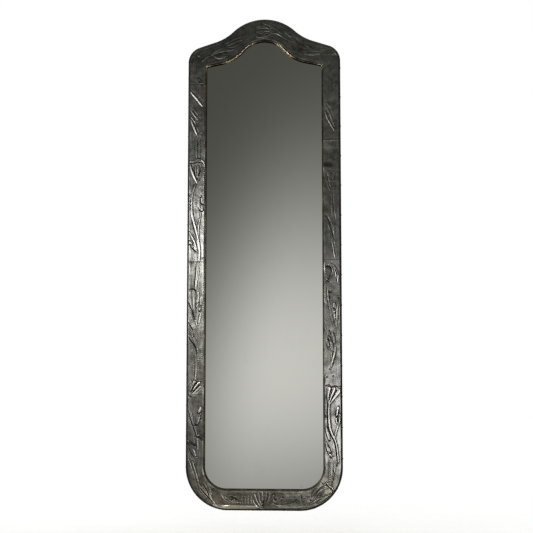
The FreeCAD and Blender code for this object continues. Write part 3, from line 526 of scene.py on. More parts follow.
# Dark patches, partly patina and partly painted shade on the shadowed sides of leaves and over broad regions
# that lie dark: a half width in millimetres, a strength, below zero for a painted highlight, and a line
# through pixels
stain_and_shade_pixels = [
    (7, 0.8, 199, 79, 202, 85),
    (14, 0.5, 198, 58, 200, 66),
    (12, 0.7, 191, 277, 192, 290),
    (5, 0.9, 189, 262, 193, 263),
    (7, 0.7, 193, 311, 194, 318),
    (9, 0.5, 190, 328, 191, 336),
    (6, 0.9, 194.6, 425, 197.6, 425.6),
    (5, 1.0, 197.4, 436.6, 200, 436.6, 202, 439.4),
    (6, 1.0, 189.6, 442.6, 195, 445.6),
    (6, 0.5, 191, 449, 194, 456),
    (10, 0.9, 325, 164.6, 330.6, 165.4),
    (9, 0.5, 335.4, 122, 336, 128),
    (9, 0.4, 326.6, 243, 327, 254),
    (7, 0.9, 326, 266.6, 330.6, 268.6),
    (10, 0.6, 327.4, 272, 328, 278),
    (6, 0.9, 329, 291.6, 331, 292),
    (5, 0.8, 329.6, 296.6, 330.4, 297.4),
    (6, 0.8, 338.4, 296, 339, 300),
    (6, 0.7, 329, 334, 330.4, 341),
    (6, 0.5, 328, 345, 332, 346),
    (6, 0.6, 325.4, 396, 327, 402),
    (7, 0.9, 325.6, 416, 327, 416.4),
    (6, 0.5, 326.4, 424, 328, 431),
    (5, 0.7, 327, 445, 328.6, 447),
    (8, 0.5, 338.6, 471, 339.4, 479),
    (7, 0.8, 231, 497, 236, 499),
    (5, 0.9, 275.2, 499.8, 275.6, 500),
    (4, 0.7, 282.4, 497.6, 282.8, 497.8),
    (8, 0.5, 289, 491.6, 296, 492.6),
    (9, 0.5, 240, 45, 245, 49),
    (8, 0.4, 300, 49, 303, 51),
    (40, 0.35, 196, 140, 196, 150),
    (40, 0.35, 196, 112, 196, 130),
    (40, 0.2, 196, 164, 196, 180),
    (40, 0.15, 196, 296, 196, 316),
    (40, 0.3, 195, 332, 195, 348),
    (40, 0.2, 195, 434, 195, 458),
    (44, 0.4, 206, 56, 236, 43),
    (40, 0.5, 331, 178, 331, 210),
    (40, 0.4, 331, 214, 331, 246),
    (40, 0.5, 331, 330, 331, 346),
    (40, 0.3, 331, 352, 331, 374),
    (44, 0.3, 244, 498, 276, 498),
    (44, 0.5, 296, 502, 318, 498),
    (7, -0.5, 216, 506.4, 240, 507.2, 256, 507.2),
    (5, 0.7, 325.4, 216, 328.6, 222, 331.4, 230, 333.6, 237),
    (3, 0.5, 331, 186, 332.4, 197, 333.4, 208, 334.6, 220),
    (3, 0.5, 326, 174, 328.6, 181, 331, 188),
    (4, 0.6, 202.6, 198.6, 204, 203, 203.8, 208),
]

# Styles that stand up as bodies with a chased line round them, and the shares of their written relief that
# bodies and whole regions keep
bodies = {"stem", "blade", "leaf", "bud", "petal"}
body_share, crest_share, right_upper_share, foot_share = 0.55, 0.36, 0.34, 0.45
chase_width, chase_depth = 1.5, 0.3
ripple_pitch = 6.2

# Width of a stroke at its ends, as a share of the widest, and how fast it fills out from there
swells = {"leaf": (0.12, 0.75), "blade": (0.15, 0.45), "bud": (0.3, 0.55)}
plain_swell = (0.4, 0.3)
petal_foot, petal_flare = 0.22, 0.9
tip_start, tip_length, tip_least = 0.86, 0.15, 0.05

# Groove along the middle of a stroke, as a share of its height, and how wide the groove is
grooves = {"stem": (0.22, 0.25), "leaf": (0.35, 0.2)}
body_squareness, line_roundness = 3, 1.3

# Height of a body at its lowest end, as a share of the highest
petal_rise, body_rise = 0.55, 0.5


def front_place(pixel):
    """Point in the front plane, in millimetres, that the camera sees at a pixel of the photograph."""
    forward = (camera_aim - camera_place).normalized()
    right = forward.cross(Vector((0, 0, 1))).normalized()
    up = right.cross(forward)
    spread = sensor_width / lens / image_size
    across = (pixel[0] - image_size / 2) * spread
    down = (pixel[1] - image_size / 2) * spread
    ray = forward + right * across - up * down
    point = camera_place + ray * ((tin_front * MM - camera_place.y) / ray.y)
    return point.x / MM, point.z / MM


def flowing(points):
    """Smooth line through a few points, with a sample about every millimetre."""
    points = np.array(points, float)
    if len(points) == 1:
        return np.array([points[0], points[0] + 0.01])
    padded = np.concatenate([[2 * points[0] - points[1]], points, [2 * points[-1] - points[-2]]])
    line = []
    for a, b, c, d in zip(padded, padded[1:], padded[2:], padded[3:]):
        steps = max(3, int(np.linalg.norm(c - b)))
        t = np.linspace(0, 1, steps, endpoint=False)[:, None]
        line.append(b + 0.5 * t * ((c - a) + t * ((2 * a - 5 * b + 4 * c - d) + t * (3 * (b - c) + d - a))))
    return np.concatenate(line + [points[-1:]])


def nearest(places, line):
    """Distance of each place from a line, share of the line's length, and length along it."""
    run = np.diff(line, axis=0)
    long = np.maximum(np.linalg.norm(run, axis=1), 1e-6)
    before = np.concatenate([[0], np.cumsum(long)[:-1]])
    t = np.clip(((places[:, None] - line[:-1]) * run).sum(-1) / long ** 2, 0, 1)
    gap = places[:, None] - (line[:-1] + t[..., None] * run)
    distance = np.sqrt((gap ** 2).sum(-1))
    best = distance.argmin(1)
    row = np.arange(len(places))
    length = before[best] + t[row, best] * long[best]
    return distance[row, best], np.clip(length / long.sum(), 0, 1), length


def swell(style, way):
    """Width of a stroke along its way, as a share of the widest."""
    if style == "petal":
        tip = np.maximum(way - tip_start, 0) / tip_length
        flare = petal_foot + (1 - petal_foot) * way ** petal_flare
        return flare * np.sqrt(np.clip(1 - tip ** 2, tip_least, 1))
    if style in ("dot", "pit"):
        return np.ones_like(way)
    least, power = swells.get(style, plain_swell)
    return least + (1 - least) * np.abs(np.sin(np.pi * way)) ** power


def section(style, across):
    """Height of a stroke across its width, as a share of the highest; across is 1 at its edge."""
    if style == "blade":
        return np.clip(1 - across, 0, 1)
    if style not in bodies:
        return np.clip(1 - across ** 2, 0, 1) ** line_roundness
    groove, groove_width = grooves.get(style, (0, 1))
    return np.clip(1 - across ** body_squareness, 0, 1) - groove * np.exp(-(across / groove_width) ** 2)


def emboss(places, strokes, raised, carved, detail):
    """Adds strokes to three height maps: raised bodies, the chased line round them, and fine detail."""
    for style, half_stroke, relief, line in strokes:
        reach = half_stroke + chase_width
        low, high = line.min(0) - reach, line.max(0) + reach
        near = np.flatnonzero(((places > low) & (places < high)).all(1))
        if not len(near):
            continue
        distance, way, length = nearest(places[near], line)
        half = half_stroke * swell(style, way)
        across = distance / half
        shape = relief * section(style, across)
        if style in bodies:
            if style == "petal":
                rise = petal_rise + (1 - petal_rise) * way
            else:
                rise = body_rise + (1 - body_rise) * np.sqrt(np.abs(np.sin(np.pi * way)))
            raised[near] = np.maximum(raised[near], np.where(across < 1, shape * rise, 0))
            outside = np.clip((distance - half) / chase_width, 0, 1)
            carved[near] = np.maximum(carved[near], chase_depth * np.sin(np.pi * outside))
        elif style == "ripple":
            wave = 0.5 + 0.5 * np.cos(2 * np.pi * length / ripple_pitch)
            detail[near] += np.where(across < 1, shape * wave, 0)
        else:
            sign = -1 if style in ("line", "pit") else 1
            detail[near] += sign * np.where(across < 1, shape, 0)


# Random tables: how many cells they have each way, and the least gap from a punch mark to its cell's edge
table_cells, cell_margin = 64, 0.15


def lattice_noise(places, size, seed):
    """Smooth random heights from -1 to 1, on a lattice of the given size."""
    rng = np.random.default_rng(seed)
    table = rng.uniform(-1, 1, (table_cells, table_cells))
    scaled = places / size
    cell = np.floor(scaled).astype(int)
    t = smooth(scaled - cell)
    x, z = cell[:, 0] % table_cells, cell[:, 1] % table_cells
    x1, z1 = (x + 1) % table_cells, (z + 1) % table_cells
    low = table[x, z] * (1 - t[:, 0]) + table[x1, z] * t[:, 0]
    high = table[x, z1] * (1 - t[:, 0]) + table[x1, z1] * t[:, 0]
    return low * (1 - t[:, 1]) + high * t[:, 1]


def punches(places, spacing, radius, seed):
    """Small round punch marks, one in each cell of a loose grid; 1 at the middle of a mark."""
    rng = np.random.default_rng(seed)
    table = rng.uniform(cell_margin, 1 - cell_margin, (table_cells, table_cells, 2))
    cell = np.floor(places / spacing).astype(int)
    mark = np.zeros(len(places))
    for step_x in (-1, 0, 1):
        for step_z in (-1, 0, 1):
            other = cell + np.array([step_x, step_z])
            centre = (other + table[other[:, 0] % table_cells, other[:, 1] % table_cells]) * spacing
            gap = np.linalg.norm(places - centre, axis=1) / radius
            mark = np.maximum(mark, np.clip(1 - gap ** 2, 0, 1))
    return mark

def flat_line(pixels):
    """Smooth line in the front plane through pixels, each given across and down."""
    return flowing([front_place(pixel) for pixel in zip(pixels[::2], pixels[1::2])])


def ready(strokes, share=1.0):
    """Strokes at a share of their relief, with their pixels turned into lines in the front plane."""
    made = []
    for style, half, relief, *pixels in strokes:
        kept = share * (body_share if style in bodies and style != "blade" else 1)
        made.append((style, half, relief * kept, flat_line(pixels)))
    return made


all_strokes = ready(left_pixels + right_lower_pixels + border_pixels) + ready(foot_pixels, foot_share)
all_strokes += ready(crest_pixels, crest_share) + ready(right_upper_pixels, right_upper_share)
stain_and_shade_patches = [(half, strength, flat_line(pixels)) for half, strength, *pixels in stain_and_shade_pixels]

# How strongly each sheet's ground is punched, how strongly it is streaked along its length, and how far it
# sags between its edges
ground_styles = {
    "crest_sheet_left": (0.10, 0.9, 0.1), "crest_sheet_right": (0.12, 0.9, 0.1),
    "left_upper_sheet": (0.05, 0.9, 0.1), "left_middle_sheet": (0.6, 0.6, 0.4),
    "left_lower_sheet": (0.28, 0.6, 0.3), "left_foot_sheet": (0.12, 0.8, 0.1),
    "right_upper_sheet": (0.1, 0.7, 0.1), "right_middle_sheet": (0.22, 0.5, 0.1),
    "right_lower_sheet": (0.35, 0.4, 0.1), "bottom_sheet": (0.25, 0.6, 0.1),
}

# The beaten ground. A dent set is a height, a size and a seed, and a punch set is a share of the full depth,
# the spacing, the radius, a shift and a seed.
ground_lift = 0.12
dent_sets = [(0.34, 31, 1), (0.16, 13, 2)]
streak_length, streak_pitch, face_width = 60, 4.2, 52
streak_height, fine_streak_height, fine_streak = 0.10, 0.05, np.array([2.2, 2.1])
streak_seed, fine_streak_seed = 3, 4
punch_sets = [(1.0, 4.6, 1.7, 0.0, 5), (0.7, 5.3, 1.5, 1.7, 6)]
punch_depth = 0.26
patch_middle, patch_swing, patch_size, patch_seed = 0.6, 0.4, 24, 7


def ground(places, ways, shares, style):
    """Height of the beaten ground: a shallow hollow, broad dents, streaks along the band and punch marks."""
    punched, streaked, sagged = style
    dents = sum(height * lattice_noise(places, size, seed) for height, size, seed in dent_sets)
    ribbon = np.stack([ways / streak_length, shares * face_width / streak_pitch], -1)
    streaks = streak_height * lattice_noise(ribbon, 1.0, streak_seed)
    streaks = streaks + fine_streak_height * lattice_noise(ribbon * fine_streak, 1.0, fine_streak_seed)
    marks = sum(share * punches(places + shift, spacing, radius, seed)
                for share, spacing, radius, shift, seed in punch_sets)
    patchy = patch_middle + patch_swing * lattice_noise(places, patch_size, patch_seed)
    hollow = sagged * (2 * shares - 1) ** 2
    return hollow + dents + streaked * streaks - punch_depth * punched * patchy * marks


def blurred(heights, radius):
    """Heights averaged over a square, by sums along each axis."""
    for axis in (0, 1):
        edge = [(radius + 1, radius) if i == axis else (0, 0) for i in (0, 1)]
        total = np.cumsum(np.pad(heights, edge, mode="edge"), axis=axis)
        size = 2 * radius + 1
        upper = np.take(total, range(size, total.shape[axis]), axis=axis)
        lower = np.take(total, range(0, total.shape[axis] - size), axis=axis)
        heights = (upper - lower) / size
    return heights


def cross_section(radius_inset):
    """Columns across a sheet, from the sight edge over the rolled edge to the wall:
    share across, reach past the rim, depth, and how far a bump there points outward."""
    flat_count = round((half_width - opening_width / 2 - rolled_edge_radius) / pitch_across)
    turns = np.radians(np.linspace(0, quarter_turn, roll_steps + 1)[1:])
    radius = rolled_edge_radius - radius_inset
    flat = np.linspace(0, 1, flat_count + 1)
    front = tin_front + radius_inset
    rolled_depth = front + radius
    flange = np.linspace(rolled_depth, 0, flange_steps + 1)[1:]
    share = np.concatenate([flat, np.ones(len(turns) + len(flange))])
    reach = np.concatenate([flat * 0, radius * np.sin(turns), np.full(len(flange), radius)])
    depth = np.concatenate([flat * 0 + front, front + radius * (1 - np.cos(turns)), flange])
    lean = np.concatenate([flat * 0, turns, np.full(len(flange), math.pi / 2)])
    return share, reach, depth, lean


def back_section():
    """Columns of a sheet's hidden back, coarser than its front."""
    share, reach, depth, lean = cross_section(tin_thickness)
    flat = np.flatnonzero(reach == 0)
    keep = np.concatenate([[0, flat[-1]], np.arange(flat[-1] + 1, len(share))])
    return share[keep], reach[keep], depth[keep]


# How the ground meets the relief, and how the sheet levels out at its seams and edges: lengths in
# millimetres, places as shares across the band, leans in degrees
cover_height, ground_left = 0.4, 0.2
softening = 1
seam_reach, seam_groove, crest_seam_depth = 2.0, 0.12, 0.25
fade_start, fade_width = 0.055, 0.09
fade_end, fade_end_width, fade_lean = 1.02, 0.05, 35
least_wall = 0.02

# How worn the high and hollow places are against the heights around them, grime along the seams, and painted
# shade along the sight edge by the bead, along the outer rim and over the rolled edge
cavity_radius, broad_radius = 3, 12
plain_wear, cavity_wear, broad_wear = 0.5, 0.6, 0.3
seam_stain, patch_edge = 0.75, 1.25
sight_shade, sight_shade_start, sight_shade_width = 0.85, 0.05, 0.06
rim_shade, rim_shade_start, rim_shade_width = 0.7, 0.965, 0.035
rolled_lean, flange_unshaded, flange_unshaded_depth = 28, 0.85, 4
back_finish = 0.4


def sheet_heights(name, places, ways, shares, lean, seam_dirt):
    """Heights of a sheet's relief and ground, levelling out at its seams and edges."""
    raised, carved, detail = np.zeros((3, len(places)))
    emboss(places, all_strokes, raised, carved, detail)
    beaten = ground(places, ways.ravel(), shares.ravel(), ground_styles[name])
    open_ground = 1 - smooth(raised / cover_height)
    beaten = beaten * (ground_left + (1 - ground_left) * open_ground)
    heights = ground_lift + raised + detail + beaten - carved * open_ground
    heights = blurred(heights.reshape(ways.shape), softening) - seam_groove * seam_dirt
    edge_fade = smooth((shares - fade_start) / fade_width) * smooth((fade_end - shares) / fade_end_width)
    edge_fade = edge_fade * smooth(1 - lean / math.radians(fade_lean))
    return np.clip(heights * edge_fade, least_wall - tin_thickness, relief_limit)


def sheet_finish(places, shares, depth, lean, heights, seam_dirt):
    """How worn, how stained or painted with shade and highlight, and how far over the rolled edge each place
    of a sheet is.
    """
    cavity = heights - blurred(heights, cavity_radius)
    broad = heights - blurred(heights, broad_radius)
    wear_and_highlight = np.clip(plain_wear + cavity_wear * cavity + broad_wear * broad, 0, 1).ravel()
    # Painted shade: darker next to the bead at the sight edge and along the outer rim
    edge_shade = np.maximum(sight_shade * (1 - smooth((shares - sight_shade_start) / sight_shade_width)),
                           rim_shade * smooth((shares - rim_shade_start) / rim_shade_width))
    stain_and_shade = np.maximum(seam_stain * seam_dirt, edge_shade).ravel()
    # Patches of patina and of painted shade; a strength below zero paints a highlight
    for half_patch, strength, line in stain_and_shade_patches:
        near = np.flatnonzero((np.abs(places - line.mean(0)) < half_patch * 2 + np.ptp(line, axis=0)).all(1))
        if len(near):
            gap = nearest(places[near], line)[0] / half_patch
            patch = strength * smooth(patch_edge - gap)
            stain_and_shade[near] = np.maximum(stain_and_shade[near], patch)
            # A strength below zero brightens the tone: a painted highlight
            wear_and_highlight[near] -= np.minimum(patch, 0)
    # The rolled edge takes near-black painted shade, fading out down the side flange
    unshaded = flange_unshaded * smooth((depth - (tin_front + rolled_edge_radius)) / flange_unshaded_depth)
    rolled = smooth(lean / math.radians(rolled_lean)) * (1 - unshaded) * np.ones_like(heights)
    return {"wear_and_highlight": wear_and_highlight, "stain_and_shade": stain_and_shade, "rolled": rolled.ravel()}


def sheet_back(start_seam, end_seam, step):
    """Points of a sheet's hidden back, with as many rows as its front."""
    share, reach, depth = back_section()
    starts, ends = start_seam.meet(share, reach), end_seam.meet(share, reach)
    ways = starts + (ends - starts) * step
    plan = band.place(ways, np.broadcast_to(share, ways.shape), np.broadcast_to(reach, ways.shape))
    return np.stack([plan[..., 0], np.broadcast_to(depth, ways.shape), plan[..., 1]], -1)


def quads(grid, flip=False):
    """Faces between the neighbours in a grid of vertex numbers."""
    corners = [grid[:-1, :-1], grid[1:, :-1], grid[1:, 1:], grid[:-1, 1:]]
    if flip:
        corners = corners[::-1]
    return np.stack([corner.ravel() for corner in corners], -1).tolist()


def sheet_mesh(name, start_seam, end_seam):
    """Embossed sheet from seam to seam, as a closed skin of the tin's thickness."""
    share, reach, depth, lean = cross_section(0)
    starts, ends = start_seam.meet(share, reach), end_seam.meet(share, reach)
    long = (ends - starts).mean()
    rows = round(long / pitch_along) + 1
    step = np.linspace(0, 1, rows)[:, None]
    ways = starts + (ends - starts) * step
    shares = np.broadcast_to(share, ways.shape)
    plan = band.place(ways, shares, np.broadcast_to(reach, ways.shape))
    places = plan.reshape(-1, 2)

    gaps = [(start_seam, step * long), (end_seam, (1 - step) * long)]
    seam_dirt = sum((crest_seam_depth if seam is crest_seam else 1.0) * (1 - smooth(gap / seam_reach))
                    for seam, gap in gaps)
    heights = sheet_heights(name, places, ways, shares, lean, seam_dirt)
    finish = sheet_finish(places, shares, depth, lean, heights, seam_dirt)

    outward = np.stack([np.interp(ways, band.way, band.outward[:, axis]) for axis in (0, 1)], -1)
    shift = outward * (heights * np.sin(lean))[..., None]
    front_y = depth - heights * np.cos(lean)
    front = np.stack([plan[..., 0] + shift[..., 0], front_y, plan[..., 1] + shift[..., 1]], -1)
    back = sheet_back(start_seam, end_seam, step)

    columns, back_columns = front.shape[1], back.shape[1]
    front_index = np.arange(rows * columns).reshape(rows, columns)
    back_index = rows * columns + np.arange(rows * back_columns).reshape(rows, back_columns)
    faces = quads(front_index)
    front_count = len(faces)
    faces += quads(back_index, True)
    faces += quads(np.stack([back_index[:, 0], front_index[:, 0]], -1))
    faces += quads(np.stack([front_index[:, -1], back_index[:, -1]], -1))
    faces.append(front_index[0].tolist() + back_index[0][::-1].tolist())
    faces.append(front_index[-1][::-1].tolist() + back_index[-1].tolist())
    vertices = np.concatenate([front.reshape(-1, 3), back.reshape(-1, 3)]) * MM
    mesh = bpy.data.meshes.new(name + "_embossed")
    mesh.from_pydata(vertices.tolist(), [], faces)

    is_front = np.arange(len(mesh.polygons)) < front_count
    mesh.polygons.foreach_set("use_smooth", is_front)
    rim = np.ones((rows, columns), bool)
    rim[1:-1, 1:-1] = False
    sharp_vertex = np.concatenate([rim.ravel(), np.ones(rows * back_columns, bool)])
    edge_ends = np.empty(2 * len(mesh.edges), np.int32)
    mesh.edges.foreach_get("vertices", edge_ends)
    mesh.edges.foreach_set("use_edge_sharp", sharp_vertex[edge_ends].reshape(-1, 2).all(1))
    for attribute_name, values in finish.items():
        padded = np.concatenate([values, np.full(rows * back_columns, back_finish)]).astype(np.float32)
        mesh.attributes.new(attribute_name, "FLOAT", "POINT").data.foreach_set("value", padded)
    mesh.validate()
    return mesh


def strip_mesh(name, above):
    """Folded strip round the glass, above or below its joint: a round bead and a flange down to the glass."""
    turns = np.linspace(0, math.pi, bead_steps + 1)
    bead_foot = tin_front - bead_height + bead_round
    crown = np.stack([bead_width / 2 * (1 - np.cos(turns)), bead_foot - bead_round * np.sin(turns)], -1)
    behind = [(bead_width, tin_front), (strip_thickness, tin_front), (strip_thickness, glass_front)]
    profile = np.concatenate([[(0, glass_front)], crown, behind])
    joint = sight.corner_centre[1]
    rows = []
    for grow, depth in profile:
        outline = sight.trace(grow)[0]
        outline = np.concatenate([outline[::bead_stride], outline[-1:]])
        meeting = [[opening_width / 2 + grow, joint]]
        if above:
            half = np.concatenate([outline[outline[:, 1] > joint], meeting])[::-1]
        else:
            half = np.concatenate([meeting, outline[outline[:, 1] < joint]])
        plan = np.concatenate([half, half[-2::-1] * np.array([-1, 1])])
        rows.append(np.stack([plan[:, 0], np.full(len(plan), depth), plan[:, 1]], -1))
    count, length = len(rows), len(rows[0])
    index = np.arange(count * length).reshape(count, length)
    around = np.roll(index, -1, axis=0)
    corners = [index[:, :-1], index[:, 1:], around[:, 1:], around[:, :-1]]
    faces = np.stack([corner.ravel() for corner in corners], -1).tolist()
    faces += [index[:, 0].tolist(), index[::-1, -1].tolist()]
    mesh = bpy.data.meshes.new(name + "_rounded")
    mesh.from_pydata((np.concatenate(rows) * MM).tolist(), [], faces)
    work = bmesh.new()
    work.from_mesh(mesh)
    bmesh.ops.recalc_face_normals(work, faces=work.faces)
    work.to_mesh(mesh)
    work.free()
    mesh.shade_smooth()
    mesh.set_sharp_from_angle(angle=math.radians(40))
    return mesh


def add_piece(name, mesh, body, material):
    """Object that rides a body and takes its finish from a slot."""
    piece = bpy.data.objects.new(name, mesh)
    bpy.context.scene.collection.objects.link(piece)
    mesh.materials.append(material)
    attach(piece, body)
    return piece


class Nodes:
    """Short calls for the nodes of a tree."""

    def __init__(self, tree):
        self.tree = tree

    def node(self, kind, **settings):
        made = self.tree.nodes.new(kind)
        for key, value in settings.items():
            setattr(made, key, value)
        return made

    def put(self, value, socket):
        if isinstance(value, bpy.types.NodeSocket):
            self.tree.links.new(value, socket)
        else:
            socket.default_value = value

    def math(self, operation, *values):
        made = self.node("ShaderNodeMath", operation=operation)
        for value, socket in zip(values, made.inputs):
            self.put(value, socket)
        return made.outputs[0]

    def apart(self, vector):
        """The three parts of a vector."""
        made = self.node("ShaderNodeSeparateXYZ")
        self.put(vector, made.inputs[0])
        return made.outputs


class Paint(Nodes):
    """A material under construction."""

    def __init__(self, name, **values):
        self.material = bpy.data.materials.new(name)
        self.material.use_nodes = True
        super().__init__(self.material.node_tree)
        self.shader = self.tree.nodes["Principled BSDF"]
        self.place = self.node("ShaderNodeTexCoord").outputs["Object"]
        for socket, value in values.items():
            self.shader.inputs[socket.replace("_", " ")].default_value = value

    def attribute(self, name):
        return self.node("ShaderNodeAttribute", attribute_name=name).outputs["Fac"]

    def stretched(self, scale, shift=(0, 0, 0)):
        made = self.node("ShaderNodeMapping")
        self.put(self.place, made.inputs["Vector"])
        made.inputs["Scale"].default_value = scale
        made.inputs["Location"].default_value = shift
        return made.outputs[0]

    def noise(self, scale, detail=3.0, roughness=0.5, vector=None, distortion=0.0):
        made = self.node("ShaderNodeTexNoise")
        self.put(vector or self.place, made.inputs["Vector"])
        settings = {"Scale": scale, "Detail": detail, "Roughness": roughness, "Distortion": distortion}
        for socket, value in settings.items():
            made.inputs[socket].default_value = value
        return made.outputs["Fac"]

    def ramp(self, factor, stops):
        made = self.node("ShaderNodeValToRGB")
        elements = made.color_ramp.elements
        while len(elements) < len(stops):
            elements.new(0.5)
        for element, (position, colour) in zip(elements, stops):
            element.position = position
            element.color = (*colour, 1)
        self.put(factor, made.inputs["Fac"])
        return made.outputs["Color"]

    def swing(self, noise, low, high):
        """A noise's usual reach, spread from a low to a high value."""
        return self.remap(noise, 0.3, 0.7, low, high)

    def tinted(self, factor, colour, tint):
        """A colour multiplied by a tint, where the factor is 1."""
        return self.mix(factor, colour, self.mix(1.0, colour, tint, "MULTIPLY"))

    def mix(self, factor, first, second, blend="MIX"):
        made = self.node("ShaderNodeMix", data_type="RGBA", blend_type=blend)
        self.put(factor, made.inputs[0])
        for value, socket in ((first, made.inputs[6]), (second, made.inputs[7])):
            self.put(value if isinstance(value, bpy.types.NodeSocket) else (*value, 1), socket)
        return made.outputs[2]

    def remap(self, value, low, high, new_low, new_high):
        made = self.node("ShaderNodeMapRange", clamp=True)
        for number, socket in zip((value, low, high, new_low, new_high), made.inputs):
            self.put(number, socket)
        return made.outputs[0]

    def bump(self, heights, strength, distance):
        made = self.node("ShaderNodeBump")
        made.inputs["Strength"].default_value = strength
        made.inputs["Distance"].default_value = distance
        self.put(heights, made.inputs["Height"])
        self.put(made.outputs[0], self.shader.inputs["Normal"])

    def set(self, socket, value):
        self.put(value, self.shader.inputs[socket])


def tin_paint():
    """Aged tin: bright where the relief is worn, dark where grime stays in the chased lines, with painted
    shade along its edges, over its rolled edge and on shadowed leaves, and a painted highlight on the foot
    ridge.
    """
    dirt_and_shade, rolled_shade, darkening_most = (0.035, 0.033, 0.028), (0.012, 0.011, 0.009), 0.85
    low_tint, low_top, low_bottom = (1.04, 0.99, 0.95), 0.05, -0.35
    foot_tint, foot_top, foot_bottom = (1.02, 1.0, 0.89), -0.63, -0.70
    dull, polished, rolled_metal, rolled_dullness = 0.30, 0.15, 0.25, 0.45
    paint = Paint("aged_tin_with_painted_light", Metallic=1.0, IOR=1.2, Specular_Tint=(0.5, 0.5, 0.48, 1))
    mottle = paint.noise(90, 4, 0.6)
    tone = paint.attribute("wear_and_highlight")
    for noise, part in ((paint.noise(14, 5, 0.6), 0.10), (mottle, 0.07), (paint.noise(520, 2, 0.6), 0.025)):
        tone = paint.math("ADD", tone, paint.swing(noise, -part, part))
    colour = paint.ramp(tone, [(0.12, (0.03, 0.028, 0.02)), (0.36, (0.13, 0.13, 0.12)),
                               (0.5, (0.28, 0.28, 0.265)), (0.66, (0.4, 0.4, 0.39)),
                               (0.95, (0.74, 0.74, 0.73))])
    tint = paint.ramp(paint.noise(22, 3, 0.5, paint.stretched((1, 1, 0.6), (3, 1, 2))),
                      [(0.36, (1.0, 0.98, 0.93)), (0.52, (0.95, 0.97, 0.93)), (0.66, (1.0, 0.95, 0.97))])
    colour = paint.mix(1.0, colour, tint, "MULTIPLY")
    level = paint.apart(paint.place)[2]
    colour = paint.tinted(paint.remap(level, low_bottom, low_top, 1, 0), colour, low_tint)
    colour = paint.tinted(paint.remap(level, foot_bottom, foot_top, 1, 0), colour, foot_tint)
    rolled = paint.attribute("rolled")
    # Grime colour over seams and patina stains, which also paints shade along the edges and on shadowed
    # leaves
    colour = paint.mix(paint.math("MULTIPLY", paint.attribute("stain_and_shade"), darkening_most), colour, dirt_and_shade)
    # Painted shade: the rolled edge is coloured near black
    paint.set("Base Color", paint.mix(rolled, colour, rolled_shade))
    paint.set("Metallic", paint.remap(rolled, 0, 1, 1, rolled_metal))
    rough = paint.math("ADD", paint.remap(tone, 0.2, 0.9, dull, polished),
                       paint.remap(rolled, 0, 1, 0, rolled_dullness))
    paint.set("Roughness", paint.math("ADD", rough, paint.swing(mottle, -0.03, 0.05)))
    paint.bump(paint.math("ADD", paint.noise(700, 3, 0.6), paint.math("MULTIPLY", mottle, 0.8)), 0.2, 0.0001)
    return paint.material


def brass_paint():
    """Brass strip gone brown, with near-black painted shade on its inner wall and painted highlights on its
    ogees and upper corners.
    """
    left_ogee, right_ogee = (-0.135, -0.115, -0.034, -0.022), (0.028, 0.042, 0.082, 0.094)
    ogee_level, corner_side, corner_level = (0.54, 0.6), (0.164, 0.170), (0.590, 0.600)
    crown_fade, highlight_wall_fade = (-0.0194, -0.0189), (-0.0170, -0.0164)
    highlight_colour, wall_shade, crown_rough, wall_rough = (0.6, 0.5, 0.36), (0.012, 0.009, 0.004), 0.34, 0.5
    paint = Paint("worn_brass_with_painted_light", Metallic=1.0, Specular_Tint=(0.3, 0.26, 0.2, 1))
    colour = paint.ramp(paint.noise(28, 4, 0.5), [(0.35, (0.05, 0.038, 0.022)), (0.5, (0.11, 0.086, 0.055)),
                                                  (0.65, (0.2, 0.165, 0.115))])
    aside, depth, level = paint.apart(paint.place)

    def span(start, full, last, end):
        """1 from full to last across the strip, fading to 0 at start and end."""
        return paint.math("MULTIPLY", paint.remap(aside, start, full, 0, 1),
                          paint.remap(aside, last, end, 1, 0))

    # Painted highlights: a pale colour on the ogees and the upper corners, reaching down the top of the inner
    # wall on the ogees
    ogee_highlight = paint.math("MULTIPLY", paint.math("MAXIMUM", span(*left_ogee), span(*right_ogee)),
                        paint.remap(level, *ogee_level, 0, 1))
    corner = paint.math("MULTIPLY", paint.remap(paint.math("ABSOLUTE", aside), *corner_side, 0, 1),
                        paint.remap(level, *corner_level, 0, 1))
    colour = paint.mix(paint.math("MAXIMUM", ogee_highlight, corner), colour, highlight_colour)
    crown = paint.math("MAXIMUM", paint.remap(depth, *crown_fade, 1, 0),
                       paint.math("MULTIPLY", ogee_highlight, paint.remap(depth, *highlight_wall_fade, 1, 0)))
    # Painted shade: the inner wall behind the crown is near black
    paint.set("Base Color", paint.mix(crown, wall_shade, colour))
    paint.set("Roughness", paint.remap(crown, 0, 1, wall_rough, crown_rough))
    return paint.material


def mirror_paint():
    """Silvered glass with faint smudges and a few tiny flecks."""
    paint = Paint("silvered_glass", Metallic=1.0)
    smudge = paint.noise(26, 5, 0.6, paint.stretched((1, 1, 0.5)))
    flecks = paint.noise(75, 2, 0.4, paint.stretched((1, 1, 0.8), (5, 0, 1)))
    clean = paint.mix(paint.remap(smudge, 0.56, 0.74, 0, 0.16), (0.87, 0.88, 0.85), (0.74, 0.75, 0.74))
    paint.set("Base Color", paint.mix(paint.remap(flecks, 0.74, 0.8, 0, 0.35), clean, (0.55, 0.56, 0.55)))
    paint.set("Roughness", paint.remap(smudge, 0.5, 0.8, 0.0, 0.035))
    return paint.material


